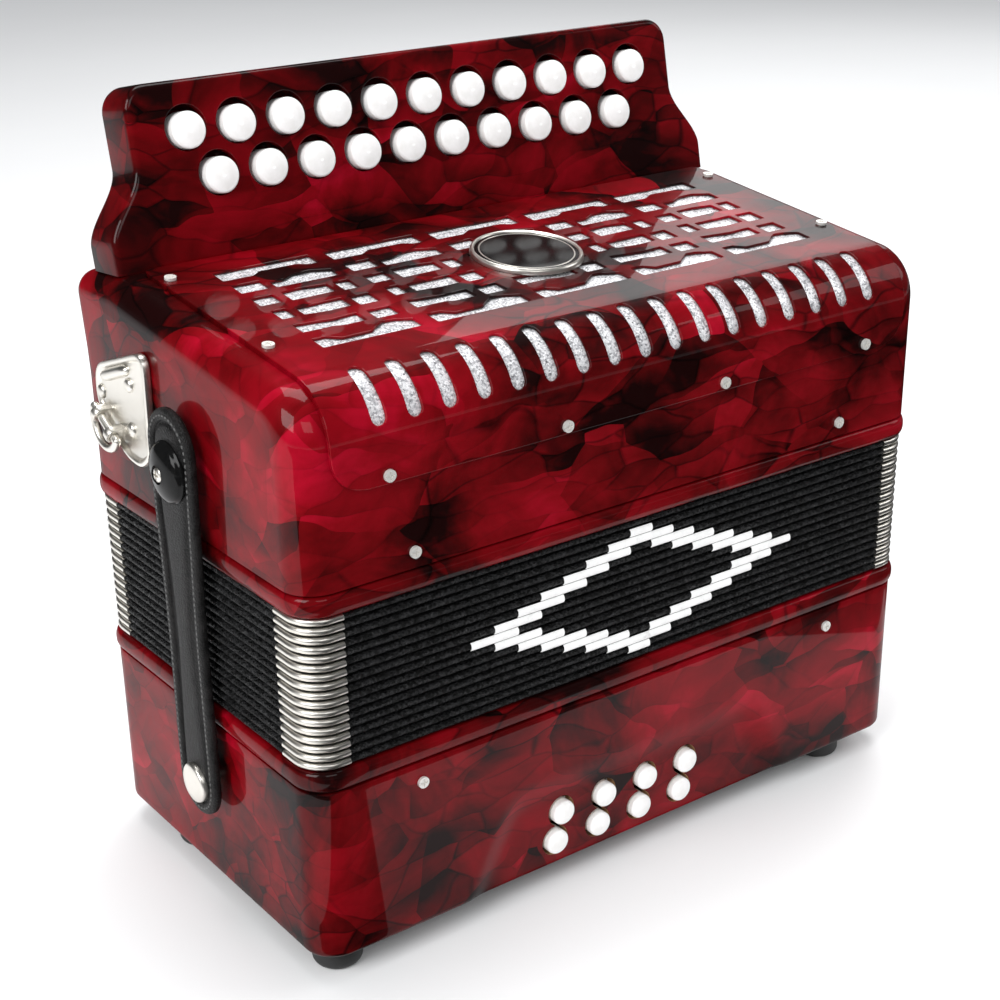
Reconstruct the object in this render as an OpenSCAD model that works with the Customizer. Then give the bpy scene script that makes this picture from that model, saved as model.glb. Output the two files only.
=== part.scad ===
// Two-row button accordion, standing on its bass end.
// Frame: X across the front, Y from the front (-) to the back (+), Z up from the floor.

/* [Body] */
// Width of both boxes along the front
body_w = 280; // [276:1:300]
// Depth of both boxes from front to back
body_d = 150.5; // [148:0.5:165]
// Radius of the upright corners
corner_r = 12; // [11:0.5:13]
// Thickness of the box walls
wall = 4; // [3.6:0.2:4.4]
// Height of the bass box
bass_h = 65.9; // [65.5:0.1:68]

/* [Bellows] */
// Height of each bellows frame
frame_h = 7.4; // [6:0.2:9]
// Height of the closed folds
bellows_h = 56.1; // [50:0.1:62]
// Number of folds
fold_count = 17; // [13:2:19]
// Depth of a fold, from its outer edge inwards
fold_depth = 20; // [16:1:24]
// How far the bellows open
bellows_travel = 255; // [200:5:280]
// Width of one step of the white pattern
step_w = 10; // [8:0.5:10]

/* [Treble keys] */
// Distance between neighbouring buttons of a row
key_pitch = 20.08; // [19.4:0.02:20.4]
// Buttons in the outer row
outer_keys = 11; // [9:2:11]
// Diameter of a treble button
treble_cap_d = 13; // [12:0.5:13.5]
// How far a treble button stands out
treble_cap_proud = 3.5; // [3:0.5:4]

/* [Bass keys] */
// Distance between neighbouring bass buttons
bass_pitch = 20.2; // [19.8:0.2:21]
// Buttons in each bass row
bass_columns = 4; // [4:1:4]
// Diameter of a bass button
bass_cap_d = 9.6; // [9:0.2:10]

/* [Straps and feet] */
// Height of the rubber feet
foot_h = 9.5; // [8:0.5:12]
// Radius of a rubber foot
foot_r = 9; // [8:0.5:10]
// Width of the bellows straps
strap_w = 30; // [26:1:31]
// Thickness of the bellows straps
strap_t = 3; // [2.4:0.2:3.4]

/* [Hidden] */
$fn = 64;

// Fits
glue = 0.05;            // gap between pieces that are glued or screwed together
fit_gap = 0.1;          // gap around a board inside its box
axle_r = 1.5;           // key axles
bore_gap = 0.05;        // radial clearance of a lever on its axle
hole_gap = 1.5;         // radial clearance of a button in its hole
seam = 0.6;             // gasket between box and bellows frame

// Heights along Z, before the whole is lifted onto its feet
z_frame = bass_h + seam;
z_folds = z_frame + frame_h;
z_frame_2 = z_folds + bellows_h;
z_treble = z_frame_2 + frame_h + seam;
board_z = z_treble + 44.4;      // underside of the treble pallet board
board_t = 4;

// Box shell
proud = 1;              // frames stand this far outside the boxes
front_wall = 8;         // front of the bass box
roof_slope = 0.12;      // rise of the treble top from front to back
roof_tilt = atan(roof_slope);
roof_r = 20;            // rolled front edge of the treble top
roof_z = z_treble + 67.6;       // treble top at roof_y
roof_y = 33;
roof_end = 117;         // where the grille stops and the fingerboard starts
back_top_z = z_treble + 74.6;   // treble top at the back wall
roof_c_z = roof_z + roof_slope * (roof_r - roof_y) - roof_r / cos(roof_tilt);

// Grille
grille_proud = 1.8;     // how far the grille stands out of the box
grille_w = body_w - 25;
grille_low_z = z_treble + 32.2;
grille_corner_r = 15;
window_w = grille_w - 19;       // opening of the box under the grille
window_low_z = z_treble + 40.6;
window_back_y = 112;
vent_count = 17;
vent_pitch = 13.58;
vent_w = 5.5;
vent_low_z = z_treble + 51.4;
vent_top_y = 14.5;
cell_count = 5;         // repeats of the fretwork across the grille
cell_pitch = 44.6;
cell_w = 37.6;
fret_y = 31.3;          // front edge of the fretwork
fret_pitch = 12.85;     // from row to row
bar_d = 6.8;            // depth of one row's openings
badge_d = 41.6;
badge_rim = 1.6;
badge_t = 2.2;
head_r = 2.1;           // screw heads
head_h = 1;
shank_r = 1.2;

// Feet, from each side of the end plate to their centres
foot_left = 14;
foot_right = 29;
foot_front = 14;
foot_back = 38;

// Fingerboard
lean = 0.2;             // its front leans back this much per unit of height
lean_a = atan(lean);
board_front_y = 120.6;  // its front face at board_ref_z
board_ref_z = z_treble + 79.3;
board_thick = 21;
board_wall = 3;
board_top_z = z_treble + 138.9;
neck_hw = body_w / 2 - 18;      // half width of the upper part
base_hw = body_w / 2 - 5;       // half width where it stands on the box
shoulder_z1 = z_treble + 87;
shoulder_z2 = z_treble + 112;
board_corner_r = 8;

// Buttons and keys
cap_edge = 1.2;         // rounding of a button's edge
cap_dome = 0.05;        // rise of its top, as a share of its diameter
lever_t = 3;
axle_y = 132;
axle_z = board_z + board_t + 11.2;
hub_r = 4;
pallet_t = 4.8;
pallet_w = 13;
pallet_l = 26;
outer_row_z = z_treble + 121.9;
inner_row_z = z_treble + 105.4;
outer_pallet_y = 60;
inner_pallet_y = 95;
cap_inside = 5.5;       // part of a treble button behind the fingerboard face
arm_z = board_z + board_t + pallet_t + fit_gap + glue;  // underside of a lever
arm_h = 5;

// Bass keys
scoop_depth = 3.5;      // hollow around the bass buttons
scoop_top_z = 38;
scoop_hw = 78;          // half width at the bottom edge
scoop_top_hw = 58;
bass_cap_top_y = 0.5;
bass_cap_len = 7;
bass_row_z = [9, 20.6];
bass_row_x = [-36.8, -33.9];
bass_lever_dx = 3.6;
bass_axle_y = 16;
bass_axle_z = 40;
bass_board_y = 22.1;
bass_pallet_z = 47;
bass_pallet_h = 14;
bass_pallet_w = 8;
air_x = -50;
air_cap_d = 12;
air_row_z = 24;
air_pallet_w = 18;
air_box_hw = 30;
end_t = 3;              // bass end plate

// Straps
strap_y = 71;
strap_off = 3.6;        // gap between the box side and the strap
strap_pivot_z = z_treble + 23.6;
strap_snap_z = 42.6;
strap_top_z = strap_pivot_z + 22;
strap_low_z = 30;
pivot_r = 3;
dome_r = 11;
dome_t = 3;
snap_r = 7.5;
snap_t = 2.4;
plate_t = 3.2;
ring_r = 9;
ring_wire_r = 1.5;
ring_y = 120;
ring_z = z_treble + 26.6;
ring_tilt = 30;
ring_off = plate_t + 2.4;       // ring bar out from the box side

inner_keys = outer_keys - 1;
outer_nodes = [for (i = [1 : outer_keys]) str("treble_key_outer_", i)];
inner_nodes = [for (i = [1 : inner_keys]) str("treble_key_inner_", i)];
lower_nodes = [for (i = [1 : bass_columns]) str("bass_key_lower_", i)];
upper_nodes = [for (i = [1 : bass_columns]) str("bass_key_upper_", i)];

red = [0.55, 0.02, 0.04];

// ---- helpers ---------------------------------------------------------------

// Lifts a piece onto the feet and centres it from front to back.
module place() { translate([0, -body_d / 2, foot_h]) children(); }

// Rectangle with round corners, centred.
module round_rect(w, d, r) {
    square([w - 2 * r, d], center = true);
    square([w, d - 2 * r], center = true);
    for (x = [-1, 1], y = [-1, 1])
        translate([x * (w / 2 - r), y * (d / 2 - r)]) circle(r);
}

// Plan of the body, drawn in by inset.
module plan(inset) {
    translate([0, body_d / 2])
        round_rect(body_w - 2 * inset, body_d - 2 * inset, corner_r - inset);
}

// Upright piece from z1 to z2 over a plan.
module rise(z1, z2) { translate([0, 0, z1]) linear_extrude(z2 - z1) children(); }

// Turns a (y, z) outline into a slab from x1 to x2.
module slab(x1, x2) {
    translate([x1, 0, 0]) rotate([90, 0, 90]) linear_extrude(x2 - x1) children();
}

// Round bars along X, and along Y.
module bar_x(x1, x2, y, z, r) {
    translate([x1, y, z]) rotate([0, 90, 0]) cylinder(h = x2 - x1, r = r);
}
module bar_y(x, y1, y2, z, r) {
    translate([x, y1, z]) rotate([-90, 0, 0]) cylinder(h = y2 - y1, r = r);
}

// Block given by its two corners.
module block(a, b) { translate(a) cube(b - a); }

// Cross-head screw head standing on z = 0.
module screw_head() {
    slot_l = head_r * 1.4;
    slot_w = 0.7;
    difference() {
        cylinder(h = head_h, r = head_r);
        for (a = [0, 90]) rotate([0, 0, a])
            translate([-slot_l / 2, -slot_w / 2, head_h / 2]) cube([slot_l, slot_w, head_h]);
    }
}

// Screw with its shank in a front or back wall.
module wall_screw(x, y, z, back, shank_l) {
    translate([x, y, z]) rotate([back ? -90 : 90, 0, 0]) {
        screw_head();
        translate([0, 0, -shank_l]) cylinder(h = shank_l, r = shank_r);
    }
}

// Button with a domed top and a round edge; its top is at z = 0 and it hangs down by len.
module cap(d, len) {
    flat = d / 2 - cap_edge;
    drop = cap_dome * d;
    dome = (flat * flat + drop * drop) / (2 * drop);
    rotate_extrude() {
        translate([0, -len]) square([d / 2, len - drop - cap_edge]);
        translate([flat, -drop - cap_edge]) circle(cap_edge);
        intersection() {
            translate([0, -dome]) circle(dome, $fn = 128);
            translate([0, -drop - cap_edge]) square([flat, drop + cap_edge]);
        }
    }
}

// Shell around both boxes between z1 and z2.
module ring_wall(inset, depth, z1, z2) {
    rise(z1, z2) difference() {
        plan(inset);
        plan_hole(inset + depth);
    }
}
module plan_hole(inset) {
    translate([0, body_d / 2]) square([body_w - 2 * inset, body_d - 2 * inset], center = true);
}

// ---- bass side -------------------------------------------------------------

// Room inside the bass box.
module bass_room(gap) {
    x = body_w / 2 - wall - gap;
    translate([-x, front_wall + gap]) square([2 * x, body_d / 2]);
    translate([0, (front_wall + body_d - wall) / 2])
        round_rect(2 * x, body_d - wall - front_wall - 2 * gap, corner_r - wall);
}

module scoop_outline() {
    polygon([[-scoop_hw, -1], [scoop_hw, -1], [scoop_top_hw, scoop_top_z],
        [-scoop_top_hw, scoop_top_z]]);
}

module bass_box() {
    color(red) place() difference() {
        rise(0, bass_h) plan(0);
        rise(-1, bass_h + 1) bass_room(0);
        translate([0, scoop_depth, 0]) rotate([90, 0, 0])
            linear_extrude(scoop_depth + 1) scoop_outline();
        for (row = [0, 1], i = [0 : bass_columns - 1])
            bar_y(bass_row_x[row] + i * bass_pitch, -1, front_wall + 1, bass_row_z[row],
                bass_cap_d / 2 + hole_gap);
        bar_y(air_x, body_d - wall - 1, body_d + 1, air_row_z, air_cap_d / 2 + hole_gap);
        for (x = [-97, 97]) {
            bar_y(x, -1, front_wall + 1, z_pin_bass(), shank_r + fit_gap);
            bar_y(x, body_d - wall - 1, body_d + 1, z_pin_bass(), shank_r + fit_gap);
        }
    }
}
function z_pin_bass() = bass_h - 7.9;

module bass_end_plate() {
    color([0.1, 0.1, 0.1]) place() rise(0, end_t) bass_room(fit_gap);
}

// Board that carries the bass pallets, and the smaller one of the air valve.
module valve_board(x1, x2) {
    block([x1, bass_board_y, end_t + fit_gap], [x2, bass_board_y + wall, bass_h - fit_gap]);
    block([x1, front_wall + fit_gap, bass_h - 3], [x2, bass_board_y + wall, bass_h - fit_gap]);
}
module pallet_hole(x, w) {
    block([x - w / 2 + 1.5, bass_board_y - 1, bass_pallet_z + 2],
        [x + w / 2 - 1.5, bass_board_y + wall + 1, bass_pallet_z + bass_pallet_h - 2]);
}
function lever_x(row, i) =
    bass_row_x[row] + i * bass_pitch + (row == 0 ? -bass_lever_dx : bass_lever_dx);
// Seen from the back wall: y runs forwards from it.
module from_back() { translate([0, body_d, 0]) mirror([0, 1, 0]) children(); }

module bass_pallet_board() {
    board_hw = body_w / 2 - wall - fit_gap;
    color([0.75, 0.6, 0.4]) place() {
        difference() {
            valve_board(-board_hw, board_hw);
            for (row = [0, 1], i = [0 : bass_columns - 1])
                pallet_hole(lever_x(row, i), bass_pallet_w);
        }
        from_back() difference() {
            union() {
                valve_board(air_x - air_box_hw, air_x + air_box_hw);
                for (x = [air_x - air_box_hw, air_x + air_box_hw - wall])
                    block([x, front_wall + fit_gap, end_t + fit_gap],
                        [x + wall, bass_board_y + 1, bass_h - 1]);
            }
            pallet_hole(air_x, air_pallet_w);
        }
    }
}

module bass_reed_block() {
    w = 118;
    y1 = bass_board_y + wall + glue;
    chamber = w / 8;
    color([0.8, 0.65, 0.45]) place() difference() {
        block([-w / 2, y1, 12], [w / 2, y1 + 30, bass_h - 6]);
        for (i = [0 : 7])
            block([-w / 2 + i * chamber + 1.5, y1 - 1, 16],
                [-w / 2 + (i + 1) * chamber - 1.5, y1 + 26, bass_h - 10]);
    }
}

// Axles with the brackets that hold them on the boards.
module valve_axle(x1, x2) {
    bar_x(x1, x2, bass_axle_y, bass_axle_z, axle_r);
    for (x = [x1, x2 - 3])
        block([x, bass_axle_y - 3, bass_axle_z - 4], [x + 3, bass_board_y - glue, bass_axle_z + 4]);
}
module bass_key_axles() {
    color("silver") place() {
        valve_axle(-50, 50);
        from_back() valve_axle(air_x - 14, air_x + 14);
    }
}

// See-saw: the button at its foot pushes in, the pallet at its head opens.
module valve_key(x, lx, z, cap_d, cap_top, pallet_w) {
    cap_back = bass_cap_top_y + bass_cap_len;
    translate([x, cap_top, z]) rotate([90, 0, 0]) cap(cap_d, cap_back - cap_top);
    difference() {
        slab(lx - lever_t / 2, lx + lever_t / 2) union() {
            translate([cap_back + glue, z - 2.5]) square([bass_axle_y - cap_back, 5]);
            translate([bass_axle_y - 2, z - 2.5]) square([4, bass_pallet_z + 13 - z + 2.5]);
            translate([bass_axle_y, bass_axle_z]) circle(hub_r);
        }
        bar_x(lx - 5, lx + 5, bass_axle_y, bass_axle_z, axle_r + bore_gap);
    }
    block([lx - pallet_w / 2, bass_axle_y + 2 + glue, bass_pallet_z],
        [lx + pallet_w / 2, bass_board_y - fit_gap, bass_pallet_z + bass_pallet_h]);
}
module bass_key(row, i) {
    color("white") place() valve_key(bass_row_x[row] + i * bass_pitch, lever_x(row, i),
        bass_row_z[row], bass_cap_d, bass_cap_top_y, bass_pallet_w);
}
module air_key() {
    color("white") place() from_back()
        valve_key(air_x, air_x, air_row_z, air_cap_d, -grille_proud - head_h, air_pallet_w);
}

module rubber_feet() {
    color([0.06, 0.06, 0.06]) place()
        for (x = [foot_left - body_w / 2, body_w / 2 - foot_right],
             y = [foot_front, body_d - foot_back])
            translate([x, y, -foot_h]) rotate_extrude() {
                translate([0, 0.6]) square([foot_r - 2, foot_h - 0.6 - glue]);
                translate([foot_r - 3, 3]) circle(3);
                translate([0, 3]) square([foot_r, foot_h - 3 - glue]);
                square([foot_r - 3, 3]);
            }
}

// Leather hand strap, flat across the end plate, and its two clamps.
module hand_strap() {
    half = 112;
    top = -1;
    t = 2.4;
    color([0.1, 0.1, 0.1]) place() {
        block([-half, body_d / 2 - 17, top - t], [half, body_d / 2 + 17, top]);
        for (s = [-1, 1]) translate([s * (half + 4), 0, 0]) {
            block([-4 + glue, body_d / 2 - 19, top - t - 1], [6, body_d / 2 + 19, -glue]);
            for (y = [-12, 12]) translate([1, body_d / 2 + y, top - t - 1])
                rotate([180, 0, 0]) translate([0, 0, glue]) cylinder(h = 1, r = 3);
        }
    }
}

// Frame moulding with a rounded outer edge, and its gasket.
module frame_ring(z, gasket_z) {
    r = frame_h / 2;
    ring_wall(-proud + 1, 14, z, z + frame_h - glue);
    rise(z + 1.2, z + frame_h - 1.2) difference() {
        plan(-proud);
        plan_hole(14);
    }
    ring_wall(1.5, 8, gasket_z + glue, gasket_z + seam - glue);
}
module lower_bellows_frame() {
    color(red) place() frame_ring(z_frame, bass_h);
}
module upper_bellows_frame() {
    color(red) place() frame_ring(z_frame_2 + glue, z_frame_2 + frame_h);
}

module strap_studs() {
    color("silver") place() for (s = [-1, 1])
        mirror([s < 0 ? 0 : 1, 0, 0])
            bar_x(-body_w / 2 - strap_off + 0.3, -body_w / 2 - glue, strap_y, strap_snap_z, 5);
}

module four_pins(z, depth_front, depth_back) {
    for (x = [-97, 97]) {
        wall_screw(x, -glue, z, false, depth_front);
        wall_screw(x, body_d + glue, z, true, depth_back);
    }
}
module bass_pins() { color("silver") place() four_pins(z_pin_bass(), front_wall - 1, wall - 1); }

// ---- bellows ---------------------------------------------------------------

fold_p = (bellows_h - 2 * fit_gap) / fold_count;
fold_gap = 0.7;         // slit between neighbouring folds
cap_metal = 0.5;        // corner caps
strip_t = 0.4;          // white strips
fold_in = 0.5;          // folds sit this far inside the box outline
function fold_z(i) = z_folds + fit_gap + i * fold_p;

module bellows_folds() {
    color([0.04, 0.04, 0.04]) place() {
        ring_wall(fold_in + 3, fold_depth - 3, z_folds + fit_gap, z_frame_2 - fit_gap);
        for (i = [0 : fold_count - 1])
            ring_wall(fold_in, fold_depth, fold_z(i) + fold_gap / 2, fold_z(i + 1) - fold_gap / 2);
    }
}

module bellows_corners() {
    color("silver") place() for (i = [0 : fold_count - 1])
        rise(fold_z(i) + fold_gap / 2 + 0.1, fold_z(i + 1) - fold_gap / 2 - 0.1) difference() {
            plan(fold_in - glue - cap_metal);
            plan(fold_in - glue);
            translate([-body_w / 2 + 15.5, -5]) square([body_w - 31, body_d + 10]);
            translate([-body_w / 2 - 5, 19]) square([body_w + 10, body_d - 38]);
        }
}

// White diamond on the front: each fold carries one strip left and one right.
module bellows_strips() {
    mid = (fold_count + 1) / 2;
    color("white") place() for (i = [2 : fold_count - 1]) {
        k = (i <= mid ? i : fold_count + 1 - i) - 1.5;
        lo = max(k - 2, 0) * step_w;
        z1 = fold_z(i - 1) + fold_gap / 2 + 0.2;
        z2 = fold_z(i) - fold_gap / 2 - 0.2;
        for (s = lo > 0 ? [-1, 1] : [0])
            block([s == 0 ? -k * step_w : min(s * lo, s * k * step_w),
                    fold_in - glue - strip_t, z1],
                [s == 0 ? k * step_w : max(s * lo, s * k * step_w), fold_in - glue, z2]);
    }
}

// ---- treble box ------------------------------------------------------------

// Area under the treble top in the (y, z) plane, drawn in by d.
module roof(d, low, y_end) {
    r = roof_r - d;
    slope_z = roof_z + roof_slope * (roof_end - roof_y) - d / cos(roof_tilt);
    intersection() {
        translate([roof_r, roof_c_z]) circle(r, $fn = 128);
        translate([d, roof_c_z]) square(r);
    }
    translate([d, low]) square([roof_r - d, roof_c_z - low]);
    polygon([[roof_r, low], [roof_r, roof_c_z],
        [roof_r - r * sin(roof_tilt), roof_c_z + r * cos(roof_tilt)],
        [roof_end, slope_z],
        [max(y_end, roof_end), slope_z + (max(y_end, roof_end) - roof_end) * back_fall()],
        [max(y_end, roof_end), low]]);
}
// Fall of the top behind the grille.
function back_fall() =
    (back_top_z - roof_z - roof_slope * (roof_end - roof_y)) / (body_d - roof_end);

module treble_room(gap) {
    translate([0, body_d / 2]) round_rect(body_w - 2 * (wall + gap),
        body_d - 2 * (wall + gap), corner_r - wall);
}

module treble_box() {
    back = body_d + 1;
    color(red) place() difference() {
        intersection() {
            rise(z_treble, board_top_z) plan(0);
            slab(-body_w, body_w) roof(0, z_treble - 1, back);
        }
        intersection() {
            rise(z_treble - 2, board_top_z) treble_room(0);
            slab(-body_w, body_w) roof(wall, z_treble - 2, back);
        }
        block([-window_w / 2, -5, window_low_z], [window_w / 2, window_back_y, board_top_z]);
        block([-neck_hw + 4, 123.5, window_low_z + 10], [neck_hw - 4, 138, board_top_z]);
        for (x = [-97, 97]) {
            bar_y(x, -1, wall + 1, z_treble + 5.8, shank_r + fit_gap);
            bar_y(x, body_d - wall - 1, body_d + 1, z_treble + 5.8, shank_r + fit_gap);
        }
    }
}

function outer_x(i) = (i - (outer_keys - 1) / 2) * key_pitch;
function inner_x(i) = (i - (inner_keys - 1) / 2) * key_pitch;

module treble_pallet_board() {
    color([0.75, 0.6, 0.4]) place() difference() {
        rise(board_z, board_z + board_t) treble_room(fit_gap);
        for (i = [0 : outer_keys - 1]) board_hole(outer_x(i), outer_pallet_y);
        for (i = [0 : inner_keys - 1]) board_hole(inner_x(i), inner_pallet_y);
    }
}
module board_hole(x, y) {
    block([x - 4.5, y - 10, board_z - 1], [x + 4.5, y + 10, board_z + board_t + 1]);
}

// Two reed blocks under the board, one chamber below each hole.
module treble_reed_blocks() {
    color([0.8, 0.65, 0.45]) place() {
        reed_block(outer_keys, outer_pallet_y);
        reed_block(inner_keys, inner_pallet_y);
    }
}
module reed_block(count, y) {
    w = count * key_pitch;
    difference() {
        block([-w / 2, y - 14, board_z - 32], [w / 2, y + 14, board_z - glue]);
        for (i = [0 : count - 1]) let (x = (i - (count - 1) / 2) * key_pitch)
            block([x - 6, y - 11, board_z - 28], [x + 6, y + 11, board_z + 1]);
    }
}

module treble_key_axle() {
    half = outer_keys * key_pitch / 2 - 2;
    color("silver") place() {
        bar_x(-half, half, axle_y, axle_z, axle_r);
        for (x = [-half, key_pitch / 4 - 1.25, half - 2.5])
            block([x, axle_y - 4, board_z + board_t + glue], [x + 2.5, axle_y + 4, axle_z + 3]);
    }
}

// Bell crank: the button swings its upright arm back, the long arm lifts the pallet.
module treble_lever(x, z, pallet_y) {
    face_y = board_front_y + lean * (z - board_ref_z);
    top_y = face_y + cap_inside * cos(lean_a) + 3.8;
    arm_y = pallet_y - pallet_l / 2 + 3;
    difference() {
        union() {
            slab(x - lever_t / 2, x + lever_t / 2) union() {
                translate([axle_y, axle_z]) circle(hub_r);
                polygon([[axle_y - 2.2, axle_z], [axle_y + 2.2, axle_z],
                    [top_y + 2.2, z + 3], [top_y - 2.2, z + 3]]);
                polygon([[arm_y, arm_z], [axle_y, arm_z], [axle_y, arm_z + arm_h],
                    [arm_y, arm_z + arm_h - 1]]);
            }
            translate([x, face_y, z]) rotate([90 - lean_a, 0, 0])
                translate([0, 0, -cap_inside - 4]) cylinder(h = 4 - glue, r = 2.6);
        }
        bar_x(x - 5, x + 5, axle_y, axle_z, axle_r + bore_gap);
    }
}
module treble_key(x, z, pallet_y) {
    face_y = board_front_y + lean * (z - board_ref_z);
    color("white") place() {
        translate([x, face_y, z]) rotate([90 - lean_a, 0, 0])
            translate([0, 0, treble_cap_proud])
                cap(treble_cap_d, treble_cap_proud + cap_inside);
        treble_lever(x, z, pallet_y);
        block([x - pallet_w / 2, pallet_y - pallet_l / 2, board_z + board_t + fit_gap],
            [x + pallet_w / 2, pallet_y + pallet_l / 2, arm_z - glue]);
    }
}

// ---- fingerboard -----------------------------------------------------------

// Half width of the fingerboard at height z, with a soft shoulder.
function ease(t) = let (u = min(max(t, 0), 1)) u * u * (3 - 2 * u);
function board_hw(z) =
    base_hw - (base_hw - neck_hw) * ease((z - shoulder_z1) / (shoulder_z2 - shoulder_z1));

// Outline in the leaning face, drawn in by inset; v runs up the face.
module board_outline(inset) {
    k = cos(lean_a);
    top = (board_top_z - board_ref_z) / k - inset;
    r = board_corner_r - inset / 2;
    steps = 16;
    zs = [for (i = [0 : steps]) shoulder_z1 + (shoulder_z2 - shoulder_z1) * i / steps];
    low = (z_treble + 60 - board_ref_z) / k;
    right = [for (z = zs) [board_hw(z) - inset, (z - board_ref_z) / k]];
    left = [for (i = [0 : steps]) [-right[steps - i][0], right[steps - i][1]]];
    polygon(concat([[base_hw - inset, low]], right,
        [[neck_hw - inset, top - r], [-neck_hw + inset, top - r]], left,
        [[-base_hw + inset, low]]));
    translate([-neck_hw + inset + r, top - 2 * r]) square([2 * (neck_hw - inset - r), 2 * r]);
    for (s = [-1, 1]) translate([s * (neck_hw - inset - r), top - r]) circle(r);
}

// Places a plate in the leaning board; w is depth behind the front face.
module in_board(w1, w2) {
    translate([0, board_front_y, board_ref_z]) rotate([90 - lean_a, 0, 0])
        translate([0, 0, -w2]) linear_extrude(w2 - w1) children();
}

module key_hole(x, z) {
    face_y = board_front_y + lean * (z - board_ref_z);
    translate([x, face_y, z]) rotate([90 - lean_a, 0, 0])
        translate([0, 0, -board_wall - 1])
            cylinder(h = board_wall + 3, r = treble_cap_d / 2 + hole_gap - 0.2);
}

module board_base_cut() {
    slab(-body_w, body_w) roof(-glue, z_treble, body_d + 30);
}

module fingerboard() {
    color(red) place() difference() {
        in_board(0, board_thick) board_outline(0);
        in_board(board_wall, board_thick + 1) board_outline(board_wall);
        for (i = [0 : outer_keys - 1]) key_hole(outer_x(i), outer_row_z);
        for (i = [0 : inner_keys - 1]) key_hole(inner_x(i), inner_row_z);
        board_base_cut();
    }
}

module fingerboard_back() {
    color(red) place() difference() {
        in_board(board_thick - board_wall, board_thick) board_outline(board_wall + fit_gap);
        board_base_cut();
    }
}

// ---- grille ----------------------------------------------------------------

// Openings of one cell, as [first, last] stretches of each row, front to back.
fret = [[[0, 37.6]], [[0, 23.6], [28, 37.6]], [[0, 5], [9, 26.5], [30.5, 37.6]],
    [[0, 7.5], [12, 28.5], [32.4, 37.6]], [[0, 10], [13.6, 37.6]], [[0, 37.6]]];
cell_rows = len(fret);
badge_y = fret_y + (fret_pitch * (cell_rows - 1) + bar_d) / 2;

module fret_cuts() {
    x0 = -((cell_count - 1) * cell_pitch + cell_w) / 2;
    for (c = [0 : cell_count - 1], r = [0 : cell_rows - 1], b = fret[r])
        translate([x0 + c * cell_pitch + b[0], fret_y + r * fret_pitch, board_z])
            cube([b[1] - b[0], bar_d, 60]);
}

module vent_cuts() {
    for (i = [0 : vent_count - 1]) {
        x = (i - (vent_count - 1) / 2) * vent_pitch;
        block([x - vent_w / 2, -5, vent_low_z], [x + vent_w / 2, vent_top_y, board_top_z]);
    }
}

module grille() {
    hw = grille_w / 2;
    r = grille_corner_r;
    color(red) place() difference() {
        slab(-hw, hw) difference() {
            roof(-grille_proud, grille_low_z, roof_end);
            roof(-glue, grille_low_z - 1, roof_end + 1);
        }
        for (s = [-1, 1]) mirror([s < 0 ? 1 : 0, 0, 0])
            difference() {
                block([hw - r, -5, grille_low_z - 1], [hw + 1, 5, grille_low_z + r]);
                bar_y(hw - r, -6, 6, grille_low_z + r, r);
            }
        fret_cuts();
        vent_cuts();
    }
}

module grille_cloth() {
    hw = window_w / 2 - fit_gap;
    color([0.7, 0.7, 0.72]) place() slab(-hw, hw) difference() {
        roof(glue, window_low_z + fit_gap, roof_end);
        roof(glue + 0.6, window_low_z - 1, roof_end + 1);
        translate([window_back_y - fit_gap, window_low_z]) square([40, 80]);
    }
}

// Point of the grille surface above y.
function grille_z(y) = roof_z + roof_slope * (y - roof_y) + grille_proud / cos(roof_tilt);

module on_grille(x, y) { translate([x, y, grille_z(y) + glue]) rotate([roof_tilt, 0, 0]) children(); }

// Plain round badge with a raised rim.
module grille_badge() {
    color("black") place() on_grille(0, badge_y) difference() {
        cylinder(h = badge_t, d = badge_d);
        translate([0, 0, badge_t - 0.6]) cylinder(h = 1, d = badge_d - 2 * badge_rim);
    }
}

module grille_screws() {
    color("silver") place() {
        for (s = [-1, 1], y = [39.7, 104.6]) on_grille(s * (grille_w / 2 - 4), y) screw_head();
        for (x = [-106.8, -35.6, 35.6, 106.8])
            translate([x, -grille_proud - glue, grille_low_z + 3]) rotate([90, 0, 0]) screw_head();
    }
}

module treble_pins() {
    color("silver") place() {
        four_pins(z_treble + 5.8, wall - 1, wall - 1);
        for (s = [0, 1]) mirror([s, 0, 0])
            bar_x(-body_w / 2 - strap_off - strap_t, -body_w / 2 - glue, strap_y,
                strap_pivot_z, pivot_r);
    }
}

// ---- straps ----------------------------------------------------------------

// Keystone plate with a raised loop and two lugs for the ring.
module bracket() {
    x = -body_w / 2;
    pts = [[91, 59.6], [131, 45.6], [132, 30.6], [112, 15.6], [100, 14.6], [92, 20.6]];
    slab(x - plate_t, x - glue) polygon([for (p = pts) [p[0], z_treble + p[1]]]);
    translate([x - plate_t, 118, z_treble + 46.6]) rotate([-20, 0, 0])
        translate([-2.4, -12, -2]) cube([2.4 + glue, 24, 4]);
    for (p = [[129, 35.6], [106, 43.6], [107, 27.1]])
        translate([x - plate_t - 1.2, p[0], z_treble + p[1]]) rotate([0, 90, 0])
            cylinder(h = 1.2 + glue, r = 2.6);
    at_ring() for (u = [-5.2, 5.2]) difference() {
        union() {
            translate([0, u - 1.5, 0]) rotate([-90, 0, 0]) cylinder(h = 3, r = 3);
            translate([0, u - 1.5, -3]) cube([ring_off - plate_t + glue, 3, 6]);
        }
        translate([0, u - 3, 0]) rotate([-90, 0, 0]) cylinder(h = 6, r = ring_wire_r + bore_gap);
    }
}
// Frame of the ring: Y along its bar, Z across it in the plane of the plate.
module at_ring() {
    translate([-body_w / 2 - ring_off, ring_y, ring_z]) rotate([ring_tilt, 0, 0]) children();
}
module strap_brackets() {
    color("silver") place() for (s = [0, 1]) mirror([s, 0, 0]) bracket();
}

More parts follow.
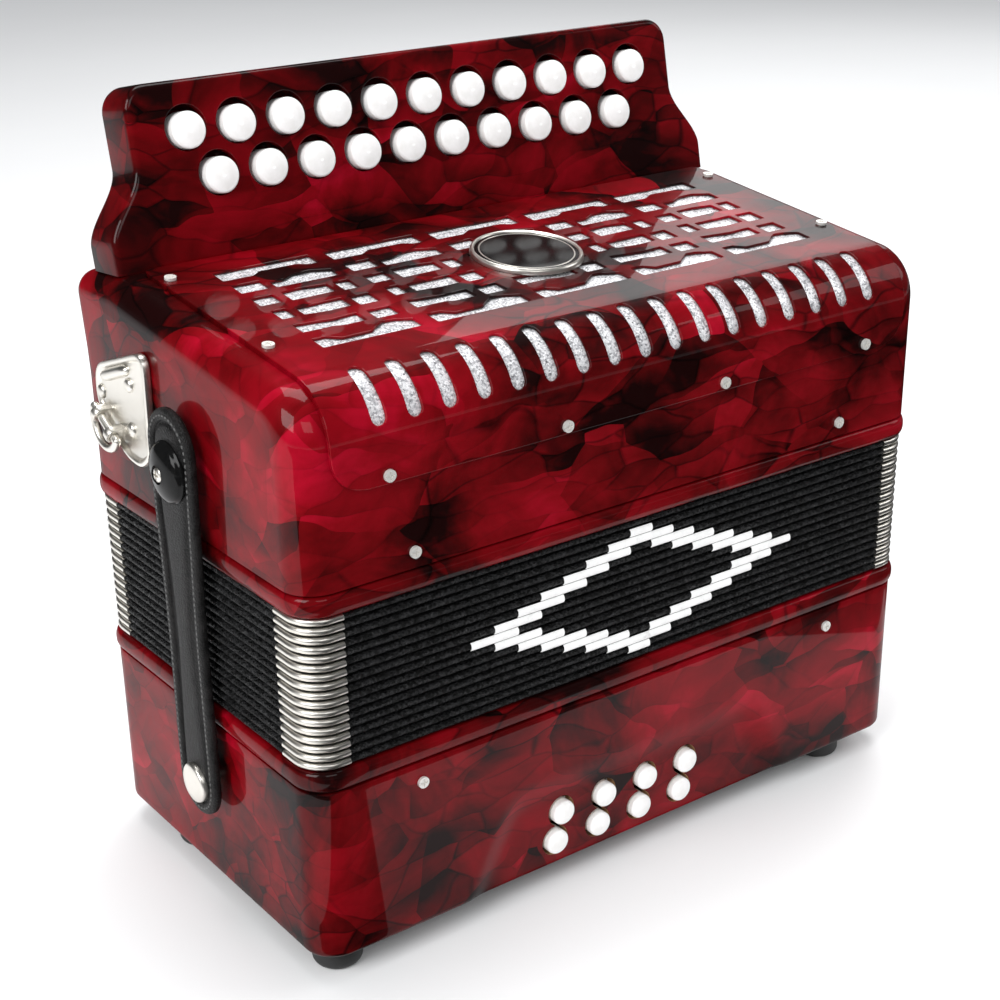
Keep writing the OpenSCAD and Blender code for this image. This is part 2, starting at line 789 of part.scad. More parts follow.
// D-ring: a straight bar and a half round bow hanging from it.
module d_ring() {
    at_ring() {
        translate([0, -ring_r, 0]) rotate([-90, 0, 0]) cylinder(h = 2 * ring_r, r = ring_wire_r);
        rotate([0, 90, 0]) rotate([0, 0, -90]) rotate_extrude(angle = 180)
            translate([ring_r, 0]) circle(ring_wire_r);
        for (s = [-1, 1]) translate([0, s * ring_r, 0]) sphere(ring_wire_r);
    }
}
module strap_ring(s) { color("silver") place() mirror([s, 0, 0]) d_ring(); }

// Leather strap, its pivot dome and its snap.
module bellows_strap(s) {
    x = -body_w / 2 - strap_off;
    r = strap_w / 2;
    color([0.07, 0.07, 0.07]) place() mirror([s, 0, 0]) {
        difference() {
            slab(x - strap_t, x) union() {
                translate([strap_y - r, strap_low_z + r])
                    square([strap_w, strap_top_z - strap_low_z - strap_w]);
                for (z = [strap_low_z + r, strap_top_z - r]) translate([strap_y, z]) circle(r);
            }
            bar_x(x - strap_t - 1, x + 1, strap_y, strap_pivot_z, pivot_r + bore_gap);
        }
        bar_x(x - strap_t - dome_t, x - strap_t - glue, strap_y, strap_pivot_z, dome_r);
        bar_x(x - strap_t - snap_t, x - strap_t - glue, strap_y, strap_snap_z, snap_r);
    }
}

// ---- output ----------------------------------------------------------------

bass_box();
bass_end_plate();
bass_pallet_board();
bass_reed_block();
bass_key_axles();
rubber_feet();
hand_strap();
lower_bellows_frame();
strap_studs();
bass_pins();
bellows_folds();
bellows_corners();
bellows_strips();
upper_bellows_frame();
treble_box();
treble_pallet_board();
treble_reed_blocks();
treble_key_axle();
fingerboard();
fingerboard_back();
grille();
grille_cloth();
grille_badge();
grille_screws();
treble_pins();
strap_brackets();
bellows_strap(0);  // bellows_strap_left
bellows_strap(1);  // bellows_strap_right
strap_ring(0);  // strap_ring_left
strap_ring(1);  // strap_ring_right
air_key();
for (i = [1 : outer_keys])
    treble_key(outer_x(i - 1), outer_row_z, outer_pallet_y);
for (i = [1 : inner_keys])
    treble_key(inner_x(i - 1), inner_row_z, inner_pallet_y);
for (i = [1 : bass_columns])
    bass_key(0, i - 1);
for (i = [1 : bass_columns])
    bass_key(1, i - 1);
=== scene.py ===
# %% [markdown]
# # A red button accordion
# The packed model holds every piece at its real size. This script gives the pieces their real
# surfaces: pearly celluloid, ribbed bellows, nickel corners, leather straps and sparkle cloth.
# The frame is loaded first, so that every new piece is placed from the model's own boxes.

# %% Load the frame
from math import atan, cos, pi, radians, sin, tau
import bmesh
import bpy
import numpy as np
from mathutils import Matrix, Vector


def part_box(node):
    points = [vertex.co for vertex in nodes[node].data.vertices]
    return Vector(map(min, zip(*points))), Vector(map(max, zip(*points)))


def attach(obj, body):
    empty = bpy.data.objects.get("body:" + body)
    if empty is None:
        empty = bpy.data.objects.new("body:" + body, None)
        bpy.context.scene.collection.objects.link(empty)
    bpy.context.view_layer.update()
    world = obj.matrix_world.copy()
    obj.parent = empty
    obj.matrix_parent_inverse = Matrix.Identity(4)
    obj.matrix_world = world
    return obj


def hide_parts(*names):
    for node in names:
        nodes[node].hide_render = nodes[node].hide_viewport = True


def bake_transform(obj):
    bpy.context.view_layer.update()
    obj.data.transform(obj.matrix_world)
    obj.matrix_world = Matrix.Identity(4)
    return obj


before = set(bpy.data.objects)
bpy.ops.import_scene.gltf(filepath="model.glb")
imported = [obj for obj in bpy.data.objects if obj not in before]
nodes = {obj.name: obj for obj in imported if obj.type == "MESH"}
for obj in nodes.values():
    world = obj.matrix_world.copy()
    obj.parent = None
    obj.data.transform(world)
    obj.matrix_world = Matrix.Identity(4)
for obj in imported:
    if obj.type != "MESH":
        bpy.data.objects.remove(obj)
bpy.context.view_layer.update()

MM = 0.001

# %% [markdown]
# ## Measures
# Heights and widths are read from the boxes of the CAD nodes. Only sizes that a box can't tell,
# such as a rounding or a slope, are named here.

# %% Measures from the frame
def span(node, axis):
    """Lowest and highest coordinate of a node along one axis."""
    low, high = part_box(node)
    return low[axis], high[axis]

BASS_LOW, BASS_TOP = span("bass_box", 2)
HALF_W = span("bass_box", 0)[1]
HALF_D = span("bass_box", 1)[1]
TREBLE_LOW = span("treble_box", 2)[0]
FOLDS_LOW, FOLDS_TOP = span("bellows_folds", 2)
GASKET_T, FRAME_GAP = 0.6 * MM, 0.1 * MM      # under a frame, and between it and the folds
LOWER_FRAME = (BASS_TOP + GASKET_T, FOLDS_LOW - FRAME_GAP)
UPPER_FRAME = (FOLDS_TOP + FRAME_GAP, TREBLE_LOW - GASKET_T)
FRONT = -HALF_D
CORNER_R = 12 * MM
WALL = 4 * MM
print("bellows", round(FOLDS_LOW, 4), round(FOLDS_TOP, 4), "treble from", round(TREBLE_LOW, 4))

# %% [markdown]
# ## The camera
# The camera looks down from the front left, so that the bass buttons, the bellows and the
# fingerboard are all in view. It is set from an angle, a height and a lens.

# %% Camera
def look(azimuth, elevation, roll, place, lens, shift):
    """Camera whose back axis has the given azimuth and elevation, then is rolled about it."""
    a, e = radians(azimuth), radians(elevation)
    back = Vector((sin(a) * cos(e), -cos(a) * cos(e), sin(e)))
    right = (-back).cross(Vector((0, 0, 1))).normalized()
    up = back.cross(right)
    r = radians(roll)
    side = right * cos(r) + up * sin(r)
    top = up * cos(r) - right * sin(r)
    data = bpy.data.cameras.new("camera")
    data.lens, data.sensor_width = lens, 36
    data.shift_x, data.shift_y = shift
    camera = bpy.data.objects.new("camera", data)
    camera.matrix_world = Matrix.Translation(place) @ Matrix((side, top, back)).transposed().to_4x4()
    bpy.context.scene.collection.objects.link(camera)
    bpy.context.scene.camera = camera
    return camera

camera = look(-36.17, 23.78, -0.9, (-0.39834, -0.52991, 0.39524), 66.65, (0.0075, 0.0451))
print("camera", [round(v, 3) for v in camera.location])

# %% [markdown]
# ## Floor and light
# The floor is a wide pale sheet. Soft lights stand to the left, to the right and behind the
# viewer, a wide one hangs above, and a faint one behind the box gives its far edges a sheen. The
# gloss then shows broad, soft reflections with dark gaps between them.

# %% Floor
def simple_mesh(name, verts, faces, smooth=False):
    """Mesh object from an array of points and a list of faces."""
    mesh = bpy.data.meshes.new(name)
    mesh.from_pydata([tuple(v) for v in np.asarray(verts, float)], [], [tuple(f) for f in faces])
    mesh.polygons.foreach_set("use_smooth", [smooth] * len(mesh.polygons))
    mesh.update()
    piece = bpy.data.objects.new(name, mesh)
    bpy.context.scene.collection.objects.link(piece)
    return piece

floor = simple_mesh("floor", [(-4, -4, 0), (4, -4, 0), (4, 4, 0), (-4, 4, 0)], [(0, 1, 2, 3)])
print("floor:", len(floor.data.polygons), "face")

# %% Lights and sky
def area_light(name, place, aim, size, power, tint=(1, 1, 1)):
    """Rectangular area light at place that faces aim."""
    data = bpy.data.lights.new(name, "AREA")
    data.shape, data.size, data.size_y = "RECTANGLE", size[0], size[1]
    data.energy, data.color = power, tint
    light = bpy.data.objects.new(name, data)
    light.location = place
    light.rotation_euler = (Vector(aim) - Vector(place)).to_track_quat("-Z", "Y").to_euler()
    bpy.context.scene.collection.objects.link(light)

area_light("key", (-1.7, -0.5, 1.3), (0, 0, 0.12), (1.1, 1.1), 32)
area_light("fill", (2.0, -0.9, 1.3), (0, 0, 0.12), (1.0, 1.0), 9)
area_light("over", (0.25, 0.35, 1.9), (0, 0, 0.1), (1.3, 0.9), 24)
area_light("front", (-0.5, -2.0, 1.5), (0, 0, 0.12), (1.2, 0.8), 9)
area_light("sheen", (1.55, 1.15, 1.1), (0, 0, 0.3), (1.0, 0.75), 7)
world = bpy.data.worlds.new("studio")
bpy.context.scene.world = world
world.use_nodes = True
sky = world.node_tree
sky.nodes["Background"].inputs["Color"].default_value = (0.95, 0.97, 1, 1)
path_kind = sky.nodes.new("ShaderNodeLightPath")
dim = sky.nodes.new("ShaderNodeMapRange")
dim.inputs["To Min"].default_value = 0.6
dim.inputs["To Max"].default_value = 0.03
sky.links.new(path_kind.outputs["Is Glossy Ray"], dim.inputs["Value"])
sky.links.new(dim.outputs["Result"], sky.nodes["Background"].inputs["Strength"])
print("lights:", len(bpy.data.lights))

# %% [markdown]
# A glossy box mirrors the white floor, and its red then turns pink. In a studio, black cards
# called flags stand just outside the view to stop that. Here they lie on the floor, and only
# reflections see them, so the floor stays white beside the box.

# %% Flags
def flag(name, corners):
    """Black card on the floor that only reflections see, drawn through its corners."""
    card = simple_mesh(name, [(x, y, 0.0005) for x, y in corners], [range(len(corners))])
    card.visible_camera = card.visible_diffuse = card.visible_shadow = False
    card.data.materials.append(flag_black)

flag_black = bpy.data.materials.new("flag_black")
flag_black.use_nodes = True
black = flag_black.node_tree.nodes["Principled BSDF"]
black.inputs["Base Color"].default_value = (0, 0, 0, 1)
black.inputs["Specular IOR Level"].default_value = 0
NEAR, FAR = 0.125, 1.6      # a card's distance from the box, and its reach
EDGE_Y = -HALF_D - NEAR
flag("flag_front", [(-FAR, -FAR), (FAR, -FAR), (FAR, -HALF_D), (0.33, -HALF_D), (0.13, EDGE_Y),
    (-0.045, EDGE_Y), (-0.112, -HALF_D), (-0.17, -HALF_D), (-0.17, EDGE_Y), (-FAR, EDGE_Y)])
flag("flag_back", [(-HALF_W, HALF_D + NEAR), (FAR, HALF_D + NEAR), (FAR, FAR), (-HALF_W, FAR)])
flag("flag_right", [(HALF_W + NEAR, -HALF_D), (FAR, -HALF_D), (FAR, HALF_D + NEAR),
    (HALF_W + NEAR, HALF_D + NEAR)])
bpy.context.scene.view_settings.view_transform = "Standard"

# %% [markdown]
# ## Materials
# Every finish is a small graph of nodes on the Object coordinates. One helper class keeps the
# graphs short: it adds a node, sets its sockets and links what is given as a socket.

# %% A helper for node graphs
class Finish:
    """A material with a Principled shader, and short calls that add nodes to it."""

    def __init__(self, name, **shader):
        self.material = bpy.data.materials.new(name)
        self.material.use_nodes = True
        self.tree = self.material.node_tree
        self.shader = self.tree.nodes["Principled BSDF"]
        for socket, value in shader.items():
            self.put(self.shader, socket.replace("_", " "), value)
        self.place = self.add("ShaderNodeTexCoord").outputs["Object"]

    def put(self, node, socket, value):
        """Sets a socket to a value, or links it to another socket."""
        target = node.inputs[socket]
        if isinstance(value, bpy.types.NodeSocket):
            self.tree.links.new(value, target)
        else:
            target.default_value = value

    def add(self, kind, sockets=(), **settings):
        """New node with its settings and sockets; gives the node."""
        node = self.tree.nodes.new(kind)
        for key, value in settings.items():
            setattr(node, key, value)
        for socket, value in dict(sockets).items():
            self.put(node, socket, value)
        return node

    def noise(self, scale, detail=3, rough=0.55, at=None, distort=0.0):
        """Noise texture: gives its node."""
        return self.add("ShaderNodeTexNoise", {"Vector": at or self.place, "Scale": scale,
            "Detail": detail, "Roughness": rough, "Distortion": distort})

    def cells(self, scale, feature="F1", at=None):
        """Voronoi texture: gives its node."""
        return self.add("ShaderNodeTexVoronoi", {"Vector": at or self.place, "Scale": scale},
            feature=feature)

    def facets(self, at, slope):
        """Crisp chips, one in each unit cell of the coordinates. The value is a half plus slope
        times (p - c) . (colour - 1/2), where p is the point and c its chip's middle. So each
        chip is a flat ramp in a direction of its own."""
        chips = self.cells(1, at=at)
        offset = self.add("ShaderNodeVectorMath", {0: at, 1: chips.outputs["Position"]},
            operation="SUBTRACT")
        turn = self.add("ShaderNodeVectorMath", {0: chips.outputs["Color"], 1: (0.5, 0.5, 0.5)},
            operation="SUBTRACT")
        rise = self.add("ShaderNodeVectorMath", {0: offset.outputs[0], 1: turn.outputs[0]},
            operation="DOT_PRODUCT")
        return self.maths("ADD", self.maths("MULTIPLY", rise.outputs["Value"], slope), 0.5)

    def maths(self, operation, a, b):
        """One step of arithmetic: gives its output."""
        node = self.add("ShaderNodeMath", operation=operation)
        self.put(node, 0, a)
        self.put(node, 1, b)
        return node.outputs[0]

    def ramp(self, factor, stops, smooth=True):
        """Colour ramp through (position, colour) stops: gives its colour."""
        node = self.add("ShaderNodeValToRGB", {"Fac": factor})
        band = node.color_ramp
        band.interpolation = "EASE" if smooth else "LINEAR"
        while len(band.elements) < len(stops):
            band.elements.new(0.5)
        for element, (position, colour) in zip(band.elements, stops):
            element.position = position
            element.color = (*colour, 1)
        return node.outputs["Color"]

    def grey(self, factor, low, high, start=0.0, end=1.0):
        """Maps a factor from start..end to low..high: gives a value."""
        node = self.add("ShaderNodeMapRange", {"Value": factor, "From Min": start, "From Max": end,
            "To Min": low, "To Max": high})
        return node.outputs["Result"]

    def mix(self, factor, a, b, blend="MIX"):
        """Mixes two colours: gives a colour."""
        node = self.add("ShaderNodeMix", data_type="RGBA", blend_type=blend)
        self.put(node, 0, factor)
        for socket, value in ((6, a), (7, b)):
            if not isinstance(value, bpy.types.NodeSocket):
                value = (*value, 1) if len(value) == 3 else value
            self.put(node, socket, value)
        return node.outputs[2]

    def push(self, amount, by):
        """Coordinates pushed about by a colour or vector centred on a half."""
        centred = self.add("ShaderNodeVectorMath", {0: by, 1: (0.5, 0.5, 0.5)}, operation="SUBTRACT")
        scaled = self.add("ShaderNodeVectorMath", {0: centred.outputs[0], "Scale": amount},
            operation="SCALE")
        moved = self.add("ShaderNodeVectorMath", {0: self.place, 1: scaled.outputs[0]},
            operation="ADD")
        return moved.outputs[0]

    def bump(self, height, strength, distance):
        """Drives the surface normal from a height."""
        node = self.add("ShaderNodeBump", {"Height": height, "Strength": strength,
            "Distance": distance})
        self.put(self.shader, "Normal", node.outputs["Normal"])

print("a finish can:", [name for name in vars(Finish) if not name.startswith("_")])

# %% [markdown]
# ### Pearl celluloid
# The boxes are wrapped in red celluloid: chips of pigment with a silky gradient, parted by dark
# smoky veins, under a thick clear gloss. Warped Voronoi cells give the chips, their colours come
# from a ramp, and a second, larger noise lays the smoke over them.

# %% Pearl celluloid
def pearl(name):
    """A red whose tone is a weighted sum of broad chips, small chips laid aslant, silk and
    smoke. Low tones turn to brown black, and dark lines part the chips where smoke lies."""
    f = Finish(name, Roughness=0.38, Specular_IOR_Level=0.03, Coat_Weight=0.3, Coat_Roughness=0.03)
    warp = f.noise(22, detail=2, rough=0.5)
    moved = f.push(0.024, warp.outputs["Color"])
    broad = f.add("ShaderNodeMapping", {"Vector": moved, "Rotation": (0.3, 0.5, 0.2),
        "Scale": (24, 30, 38)}).outputs[0]
    small = f.add("ShaderNodeMapping", {"Vector": moved, "Rotation": (0.4, -0.9, 0.3),
        "Scale": (34, 62, 96)}).outputs[0]
    fibres = f.add("ShaderNodeMapping", {"Vector": moved, "Rotation": (0.6, 0.3, 0.9),
        "Scale": (60, 240, 150)}).outputs[0]
    smoke = f.noise(13, detail=5, rough=0.6, at=moved, distort=0.7)
    silk = f.noise(1, detail=4, rough=0.55, at=fibres, distort=0.6)
    parts = [(f.facets(broad, 1.9), 0.22), (f.facets(small, 1.9), 0.13),
        (silk.outputs["Fac"], 0.16), (smoke.outputs["Fac"], 1.05)]
    tone = f.maths("SUBTRACT", 0.0, 0.255)
    for value, weight in parts:
        tone = f.maths("ADD", tone, f.maths("MULTIPLY", value, weight))
    red = f.ramp(tone, [(0.34, (0.008, 0.0010, 0.0010)), (0.43, (0.050, 0.0006, 0.0010)),
        (0.54, (0.110, 0.0006, 0.0020)), (0.68, (0.185, 0.0008, 0.0045)),
        (0.84, (0.33, 0.0020, 0.0150))], smooth=False)
    seams = f.cells(1, "DISTANCE_TO_EDGE", at=small)
    line = f.ramp(seams.outputs["Distance"], [(0.0, (0.25, 0.4, 0.4)), (0.05, (1, 1, 1))])
    red = f.mix(f.grey(smoke.outputs["Fac"], 0.9, 0.15, 0.42, 0.58), red, line, "MULTIPLY")
    f.put(f.shader, "Base Color", red)
    f.put(f.shader, "Roughness", f.grey(silk.outputs["Fac"], 0.3, 0.5))
    f.bump(f.noise(9, detail=2).outputs["Fac"], 0.05, 0.004)
    return f.material

RED = pearl("pearl_red")
print("pearl nodes:", len(RED.node_tree.nodes))

# %% [markdown]
# ### Metals, plastics and rubber
# Nickel is satin and slightly warm, with fine scuffs. The buttons are hard white plastic whose
# levers, hidden behind them, are brushed metal. A key could be cut into two meshes, but its packed
# mesh is kept whole, so a plane in the Object coordinates parts the two finishes.

# %% Nickel and button plastic
def nickel(name, base=(0.86, 0.83, 0.77), rough=0.33, metal=1.0):
    """Satin plated metal: fine scuffs vary the roughness."""
    f = Finish(name, Metallic=metal, Roughness=rough)
    scuff = f.noise(420, detail=4, rough=0.7)
    cloud = f.noise(60, detail=2)
    f.put(f.shader, "Base Color", f.mix(cloud.outputs["Fac"], base, [v * 0.86 for v in base]))
    f.put(f.shader, "Roughness", f.grey(scuff.outputs["Fac"], rough * 0.8, rough * 1.3))
    f.bump(scuff.outputs["Fac"], 0.03, 0.0002)
    return f.material

def key_finish(name, normal, offset):
    """White plastic where the point lies before a plane, brushed metal behind it."""
    f = Finish(name, Roughness=0.2, Specular_IOR_Level=0.5, Coat_Weight=0.35, Coat_Roughness=0.08)
    along = f.add("ShaderNodeVectorMath", {0: f.place, 1: normal}, operation="DOT_PRODUCT")
    behind = f.maths("GREATER_THAN", along.outputs["Value"], offset)
    wear = f.noise(240, detail=4)
    white = f.ramp(wear.outputs["Fac"], [(0.3, (0.87, 0.86, 0.84)), (0.7, (0.94, 0.93, 0.92))])
    brushed = f.noise(300, detail=3)
    metal = f.ramp(brushed.outputs["Fac"], [(0.3, (0.42, 0.41, 0.39)), (0.7, (0.60, 0.59, 0.57))])
    f.put(f.shader, "Base Color", f.mix(behind, white, metal))
    f.put(f.shader, "Metallic", behind)
    f.put(f.shader, "Roughness", f.grey(wear.outputs["Fac"], 0.16, 0.3))
    return f.material

NICKEL = nickel("satin_nickel")
PIN = nickel("bright_nickel", (0.93, 0.91, 0.87), 0.42, 0.55)
STEEL = nickel("polished_steel", (0.62, 0.62, 0.63), 0.16)
print("metals:", NICKEL.name, PIN.name, STEEL.name)

# %% Rubber and black enamel
def moulded(name, base, rough, grain, height, scale=700, shine=0.5):
    """Moulded rubber or plastic: an even colour with a fine moulded grain."""
    f = Finish(name, Roughness=rough, Specular_IOR_Level=shine)
    speck = f.noise(scale, detail=4, rough=0.65)
    light = [min(1, v * 1.35 + 0.004) for v in base]
    f.put(f.shader, "Base Color", f.mix(speck.outputs["Fac"], base, light))
    f.put(f.shader, "Roughness", f.grey(speck.outputs["Fac"], rough * 0.8, rough * 1.2))
    f.bump(speck.outputs["Fac"], grain, height)
    return f.material

RUBBER = moulded("black_rubber", (0.012, 0.012, 0.012), 0.55, 0.3, 0.0003)
ENAMEL = moulded("black_enamel", (0.003, 0.003, 0.003), 0.12, 0.02, 0.0001, shine=0.16)
# This matte black serves the gaskets and the end plate, and also paints the shade inside the bracket
# slots.
GASKET_AND_SHADE = moulded("black_gasket_and_shade", (0.006, 0.006, 0.006), 0.8, 0.2, 0.0003)
print("moulded:", RUBBER.name, ENAMEL.name, GASKET_AND_SHADE.name)

# %% [markdown]
# ### Cloth, tape, leather and wood
# The bellows are edged with black book cloth, whose pebbled grain catches small lights. A grain
# this fine is left to bump, because its outline can't be seen.

# %% Bellows cloth, white tape and leather
def bellows_cloth(name):
    """Black grained book cloth: wrinkles across the strip, and pebbles between them. The tops
    of the grain are smoother, so they catch small lights."""
    f = Finish(name, Roughness=0.3, Specular_IOR_Level=0.24)
    pebbles = f.cells(900)
    broad = f.noise(430, detail=4, rough=0.65, distort=1.2)
    height = f.maths("ADD", f.maths("MULTIPLY", pebbles.outputs["Distance"], 0.5),
        f.maths("MULTIPLY", broad.outputs["Fac"], 1.5))
    f.put(f.shader, "Base Color", f.ramp(height, [(0.5, (0.0008, 0.0008, 0.0009)),
        (1.0, (0.003, 0.003, 0.0032)), (1.35, (0.02, 0.02, 0.021))]))
    f.put(f.shader, "Roughness", f.grey(broad.outputs["Fac"], 0.6, 0.16, 0.40, 0.62))
    f.bump(height, 1.0, 0.0018)
    return f.material

def tape(name):
    """White tape on cloth: faint weave and slight soiling."""
    f = Finish(name, Roughness=0.42)
    soil = f.noise(190, detail=5, rough=0.7)
    weave = f.noise(1500, detail=2)
    f.put(f.shader, "Base Color", f.ramp(soil.outputs["Fac"], [(0.25, (0.62, 0.61, 0.60)),
        (0.42, (0.84, 0.84, 0.83)), (0.6, (0.90, 0.90, 0.89))]))
    f.bump(weave.outputs["Fac"], 0.2, 0.0002)
    return f.material

def leather(name):
    """Black leather: pores between small cells over a soft wrinkle."""
    f = Finish(name, Roughness=0.48, Specular_IOR_Level=0.17)
    pores = f.cells(820, feature="DISTANCE_TO_EDGE")
    wrinkle = f.noise(160, detail=4, distort=0.6)
    height = f.maths("ADD", f.maths("MINIMUM", pores.outputs["Distance"], 0.18),
        f.maths("MULTIPLY", wrinkle.outputs["Fac"], 0.25))
    f.put(f.shader, "Base Color", f.ramp(wrinkle.outputs["Fac"], [(0.3, (0.004, 0.004, 0.004)),
        (0.7, (0.014, 0.013, 0.013))]))
    f.put(f.shader, "Roughness", f.grey(wrinkle.outputs["Fac"], 0.36, 0.58))
    f.bump(height, 0.8, 0.0008)
    return f.material

CLOTH = bellows_cloth("bellows_cloth")
TAPE = tape("white_tape")
LEATHER = leather("black_leather")
print("soft finishes:", CLOTH.name, TAPE.name, LEATHER.name)

# %% [markdown]
# The sparkle cloth is silver gauze with glitter. Each Voronoi cell is a grain with a random
# brightness, gloss and tilt, so that some grains flash and their neighbours don't.

# %% Sparkle cloth and wood
def sparkle(name):
    """Silver gauze: glitter grains of random brightness over a fine weave."""
    f = Finish(name, Roughness=0.38, Metallic=0.35)
    grains = f.cells(1500)
    pick = f.add("ShaderNodeSeparateColor", {"Color": grains.outputs["Color"]})
    cloud = f.noise(420, detail=5, rough=0.75)
    tone = f.maths("ADD", f.maths("MULTIPLY", pick.outputs["Red"], 0.55),
        f.maths("MULTIPLY", cloud.outputs["Fac"], 0.6))
    f.put(f.shader, "Base Color", f.ramp(tone, [(0.20, (0.05, 0.05, 0.055)),
        (0.36, (0.42, 0.42, 0.44)), (0.62, (0.80, 0.80, 0.82)), (0.9, (0.97, 0.97, 0.98))]))
    f.put(f.shader, "Roughness", f.grey(pick.outputs["Green"], 0.15, 0.55))
    f.bump(pick.outputs["Blue"], 0.7, 0.0005)
    return f.material

def wood(name, light, dark):
    """Plain wood: stretched noise makes the grain."""
    f = Finish(name, Roughness=0.5)
    stretch = f.add("ShaderNodeMapping", {"Vector": f.place, "Scale": (8, 90, 90)})
    grain = f.noise(4, detail=6, rough=0.6, at=stretch.outputs[0], distort=0.6)
    f.put(f.shader, "Base Color", f.ramp(grain.outputs["Fac"], [(0.3, dark), (0.7, light)]))
    f.put(f.shader, "Roughness", f.grey(grain.outputs["Fac"], 0.4, 0.6))
    f.bump(grain.outputs["Fac"], 0.15, 0.0004)
    return f.material

SPARKLE = sparkle("sparkle_cloth")
WOOD = wood("board_wood", (0.50, 0.30, 0.15), (0.30, 0.15, 0.06))
print("materials:", len(bpy.data.materials))

# %% Floor paper
paper = Finish("pale_floor", Roughness=0.55, Base_Color=(0.86, 0.86, 0.86, 1))
paper.put(paper.shader, "Base Color", paper.ramp(paper.noise(3).outputs["Fac"],
    [(0, (0.85, 0.85, 0.85)), (1, (0.88, 0.88, 0.88))]))
floor.data.materials.append(paper.material)
print("floor finish:", paper.material.name)

# %% [markdown]
# ## Loops and sweeps
# Most pieces run round the box, so one function samples the rounded outline at any inset. A
# profile carried round that loop closes on itself in both directions and makes a solid wall.

# %% The outline of the body
def straight(n):
    """n steps from 0 to 1, the last one left out."""
    return np.arange(n) / n

FRONT_STEPS, SIDE_STEPS, ARC_STEPS = 150, 24, 10
LEAST_R = 0.4 * MM

def loop(inset):
    """Rounded rectangle drawn in by inset, anticlockwise from the front left; the same number
    of points at every inset, so that loops can be joined. Straight sides are sampled evenly,
    and each corner is a quarter circle of the radius less the inset."""
    w, d = HALF_W - inset, HALF_D - inset
    r = max(CORNER_R - inset, LEAST_R)
    points = []
    corners = [(w - r, -d + r, -90), (w - r, d - r, 0), (-w + r, d - r, 90), (-w + r, -d + r, 180)]
    counts = [FRONT_STEPS, SIDE_STEPS, FRONT_STEPS, SIDE_STEPS]
    starts = [(-w + r, -d), (w, -d + r), (w - r, d), (-w, d - r)]
    ends = [(w - r, -d), (w, d - r), (-w + r, d), (-w, -d + r)]
    for (cx, cy, a0), n, s, e in zip(corners, counts, starts, ends):
        t = straight(n)[:, None]
        points.append(np.array(s) * (1 - t) + np.array(e) * t)
        a = np.radians(a0 + 90 * straight(ARC_STEPS))
        points.append(np.stack([cx + r * np.cos(a), cy + r * np.sin(a)], 1))
    return np.concatenate(points)

print("points in the outline:", len(loop(0)))

# %% [markdown]
# A grid of points becomes a mesh through a table of quads, worked out as one array. Each piece
# then gets its doubles merged, its faces turned outwards, and its ridges marked sharp.

# %% Grids and meshes
def weave_faces(rows, columns, close_rows=True, close_columns=True):
    """Quads of a grid whose rows and columns may close on themselves."""
    r = np.arange(rows if close_rows else rows - 1)
    c = np.arange(columns if close_columns else columns - 1)
    i, j = np.meshgrid(r, c, indexing="ij")
    i2, j2 = (i + 1) % rows, (j + 1) % columns
    quads = np.stack([i * columns + j, i * columns + j2, i2 * columns + j2, i2 * columns + j], -1)
    return quads.reshape(-1, 4)

def mesh_piece(name, verts, faces, material, angle=35, fix=True):
    """Mesh object with smooth shading up to an angle, and faces turned outwards."""
    mesh = bpy.data.meshes.new(name)
    mesh.from_pydata(np.asarray(verts, float).tolist(), [], [list(f) for f in faces])
    return dress(mesh, name, material, angle, fix)

def dress(mesh, name, material, angle=35, fix=True):
    """Cleans a mesh, turns its faces outwards, smooths it and links it as an object."""
    if fix:
        bm = bmesh.new()
        bm.from_mesh(mesh)
        bmesh.ops.remove_doubles(bm, verts=bm.verts, dist=1e-6)
        bmesh.ops.recalc_face_normals(bm, faces=bm.faces)
        bm.to_mesh(mesh)
        bm.free()
    mesh.polygons.foreach_set("use_smooth", [True] * len(mesh.polygons))
    mesh.set_sharp_from_angle(angle=radians(angle))
    mesh.update()
    for m in material if isinstance(material, list) else [material]:
        mesh.materials.append(m)
    piece = bpy.data.objects.new(name, mesh)
    bpy.context.scene.collection.objects.link(piece)
    return piece

print("quads of a 3 x 4 ring:", len(weave_faces(3, 4)))

# %% Walls round the outline
def ring_piece(name, profile, material, shape=None, angle=35):
    """Solid wall: a closed profile of (inset, height) points carried round the outline. shape
    may move the points afterwards; it is given arrays of x, y, z and the profile's insets."""
    grid = np.stack([np.column_stack([loop(d), np.full(len(loop(0)), z)]) for d, z in profile])
    if shape:
        grid = shape(grid, np.array([d for d, z in profile]))
    faces = weave_faces(len(profile), grid.shape[1])
    return mesh_piece(name, grid.reshape(-1, 3), faces, material, angle)

def arc(cx, cz, r, a0, a1, n=6):
    """Points of an arc in the (inset, height) plane, angles in degrees."""
    a = np.radians(np.linspace(a0, a1, n))
    return [(cx + r * cos(t), cz + r * sin(t)) for t in a]

print("a quarter of a 2 mm arc:", np.round(arc(0, 0, 2, 0, 90, 3), 2).tolist())

# %% [markdown]
# ## Cutting
# Holes are cut with Blender's exact Boolean from closed cutters, and the result is made a plain
# mesh at once, so nothing live is left on the piece.

# %% Cutting
def cut(piece, *tools):
    """Takes the closed cutting tools out of the piece one by one."""
    for tool in tools:
        change = piece.modifiers.new("cut", "BOOLEAN")
        change.operation, change.solver, change.object = "DIFFERENCE", "EXACT", tool
        change.material_mode = "TRANSFER"
        graph = bpy.context.evaluated_depsgraph_get()
        graph.update()
        mesh = bpy.data.meshes.new_from_object(piece.evaluated_get(graph))
        piece.modifiers.clear()
        piece.data = mesh
        mesh.set_sharp_from_angle(angle=radians(30))
        bpy.data.objects.remove(tool)

print("cutting is done by the exact Boolean, and what it leaves is a plain mesh")

# %% [markdown]
# Domes, rivets, screw heads and drills are round, so they are turned as on a lathe: a profile
# goes round +Z, and the whole is then turned and moved to its place. Plain blocks cut windows.

